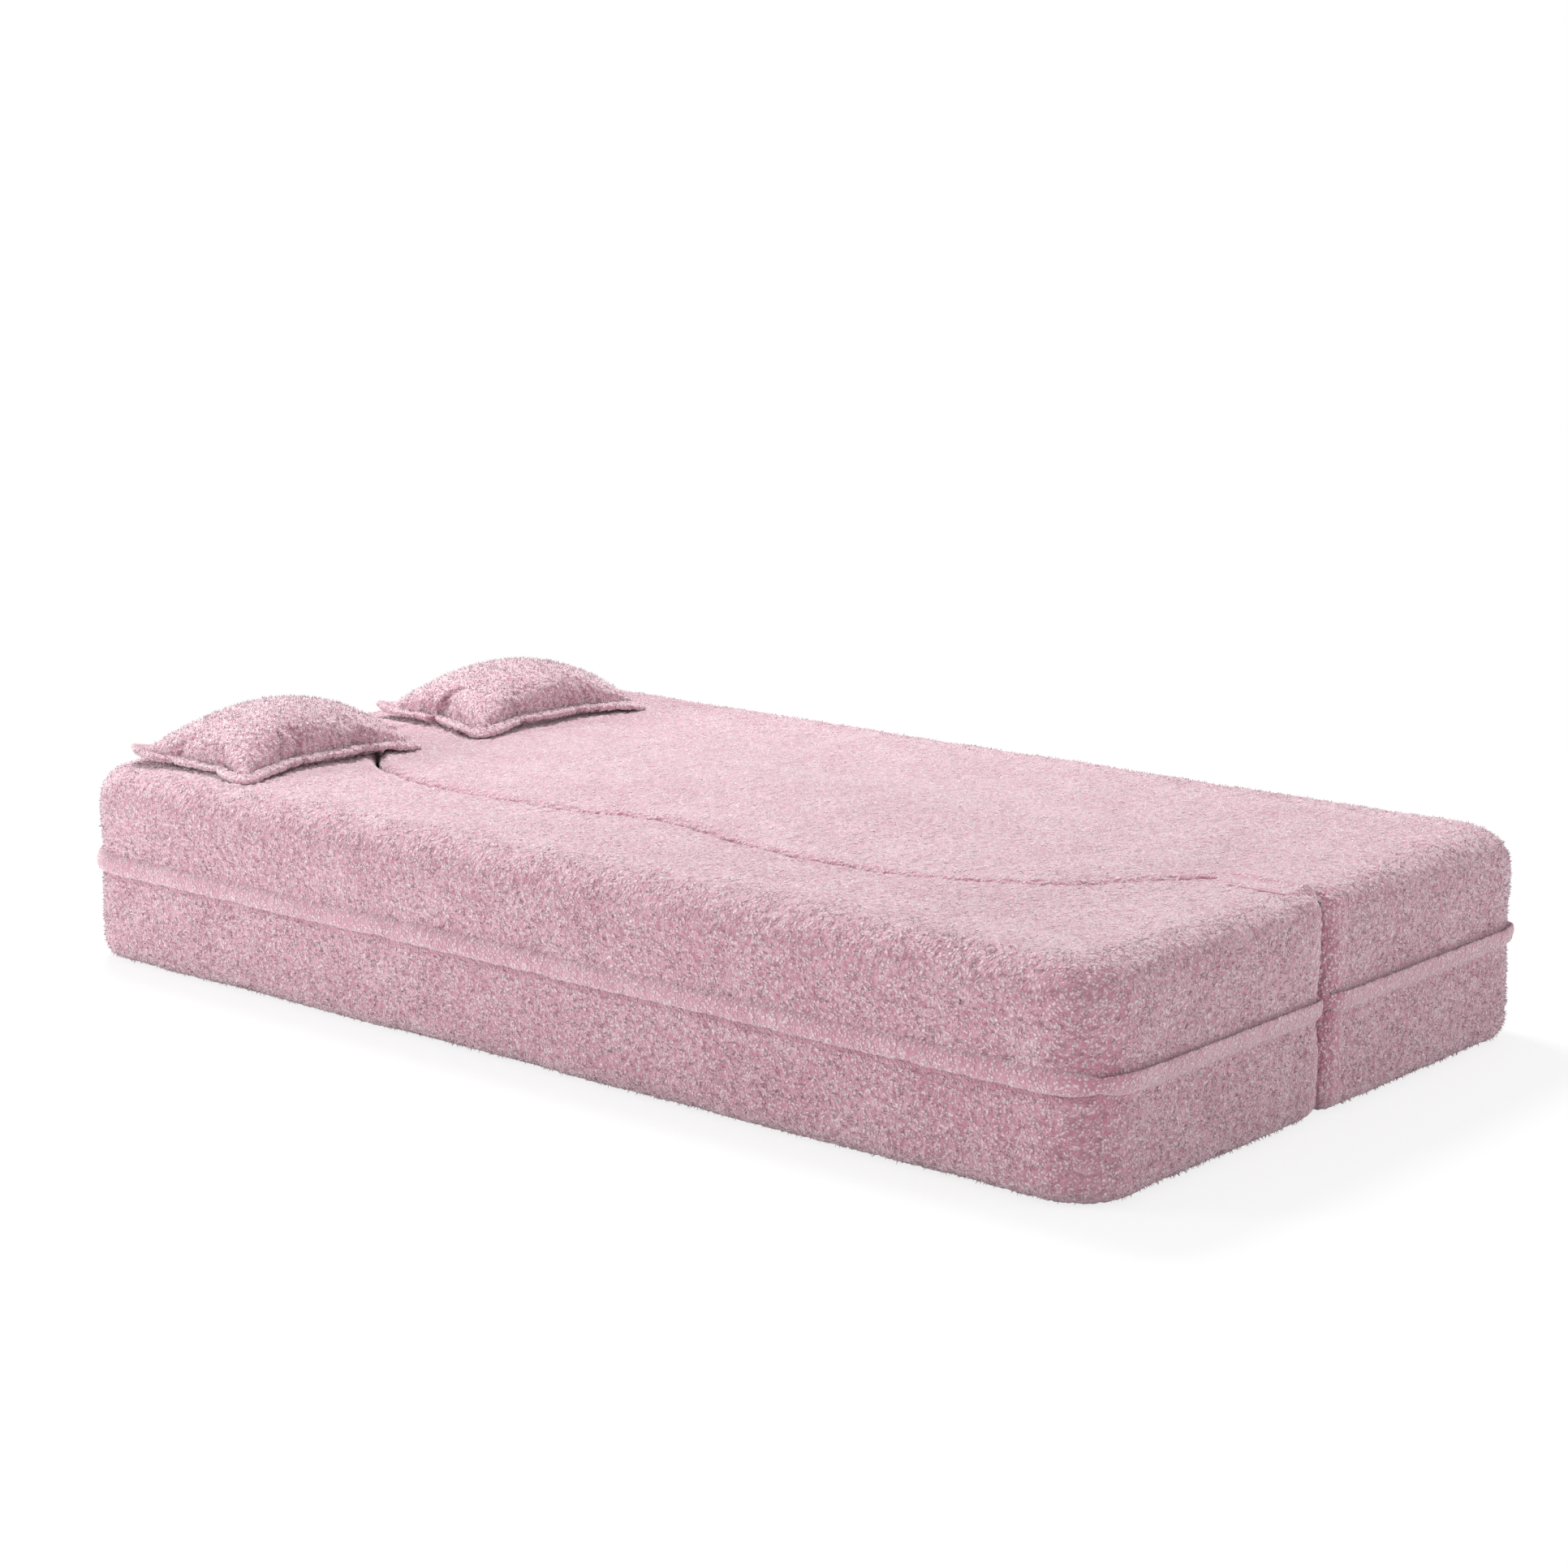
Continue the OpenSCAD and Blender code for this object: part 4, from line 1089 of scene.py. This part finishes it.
def creases(x, y, rise):
    """Small folds in the fleece: sines that fan out from the near corner at the head end, times a bell
    over the distance from it, and the root of the case's rise."""
    from_corner = np.hypot(x + pillow_half_w, y + pillow_half_l)
    round_corner = np.arctan2(y + pillow_half_l, x + pillow_half_w)
    fan = np.sin(crease_waves * round_corner + 2 * np.sin(4 * round_corner))
    return crease_h * fan * np.exp(-((from_corner - crease_place) / crease_reach) ** 2) * np.sqrt(rise)


def pillow(label, seed):
    """The whole case: the upper panel rises over the flange by its swell, the lower one falls to the bed
    by an eased share of it, and the flange has a pinched seam and a soft wave along its rim."""
    turn_sign = 1 if label == "near" else -1
    wide = with_flange(panel[:, ::turn_sign] * [1, turn_sign, 1])
    x, y, rise = wide[:, :, 0], wide[:, :, 1], wide[:, :, 2]
    u, v = x / pillow_half_w, y / pillow_half_l
    cut = 1 - corner_cut * np.abs(u * v) ** 5
    x, y = x * cut, y * cut
    flat = np.column_stack([x.ravel(), y.ravel(), np.zeros(x.size)])
    wave = lumps(flat, rim_wave, seed).reshape(x.shape)
    middle = seam_height(np.clip(u, -1, 1), np.clip(v, -1, 1))
    rows_out, columns_out = [np.abs(np.arange(wide_count) - (wide_count - 1) / 2) - (count - 1) / 2
                             for wide_count, count in zip(x.shape, fine_count)]
    outside = np.maximum(rows_out[:, None], columns_out[None])
    flange_share = np.clip(outside / flange_count, 0, 1)
    middle = middle + (rim_wave_h * wave - flange_drop * np.clip(u, 0, 1) ** 4) * flange_share
    half = (seam_pinch + (flange_t - seam_pinch) * ease_in(flange_share * 3)) / 2
    top = middle + half + (pillow_h - middle - half) * rise + creases(x, y, rise)
    press = ease_in((rise - press_start) / press_change)
    under = middle - half
    low = np.maximum(under - (under - lie_gap) * press, lie_gap)
    sheets = [np.stack([x, y, z], 2).reshape(-1, 3) for z in (top, low)]
    number = np.arange(x.size).reshape(x.shape)
    edge = border_numbers(number)
    rim = (sheets[0][edge] + sheets[1][edge]) / 2
    away = rim[:, :2] / np.linalg.norm(rim[:, :2], axis=1)[:, None]
    rim[:, :2] += rim_round * away
    rim_number = 2 * x.size + np.arange(len(edge))
    quads = sheet_quads(number, [edge + x.size, rim_number, edge])
    points, quads, tuft = with_pile(np.concatenate(sheets + [rim]), quads, case_pile, seed)
    points[:, 2] = np.maximum(points[:, 2], lie_gap)
    middle_x, middle_y, turn = pillow_places[label]
    cos, sin = math.cos(turn), math.sin(turn)
    spun = points[:, :2] @ np.array([[cos, sin], [-sin, cos]])
    placed = np.column_stack([spun + [middle_x, middle_y], points[:, 2] + bed_height])
    # Painted light: the raised curl heights make the case paler.
    return placed, quads, tuft + pillow_painted_light


def open_case(label, places):
    """Where a case has fibres: over its underside, and clear of the zip under its head-end flange."""
    zip_x = pillow_places[label][0] - stuffed_w
    return (places[:, 2] > bed_height + fuzz_low) & (places[:, 0] > zip_x + zip_clear)


for seed, label in ((71, "near"), (81, "far")):
    case = new_piece(f"{label}_pillow_case", *pillow(label, seed))
    dress(case, f"{label}_pillow", "fleece", f"{label}_pillow_front", f"{label}_pillow_back",
          f"{label}_pillow_fill")
    fuzz = fibres(case, lambda places: open_case(label, places), pillow_fibres, seed)
    dress(new_piece(f"{label}_pillow_fibres", *fuzz), f"{label}_pillow", "fleece")
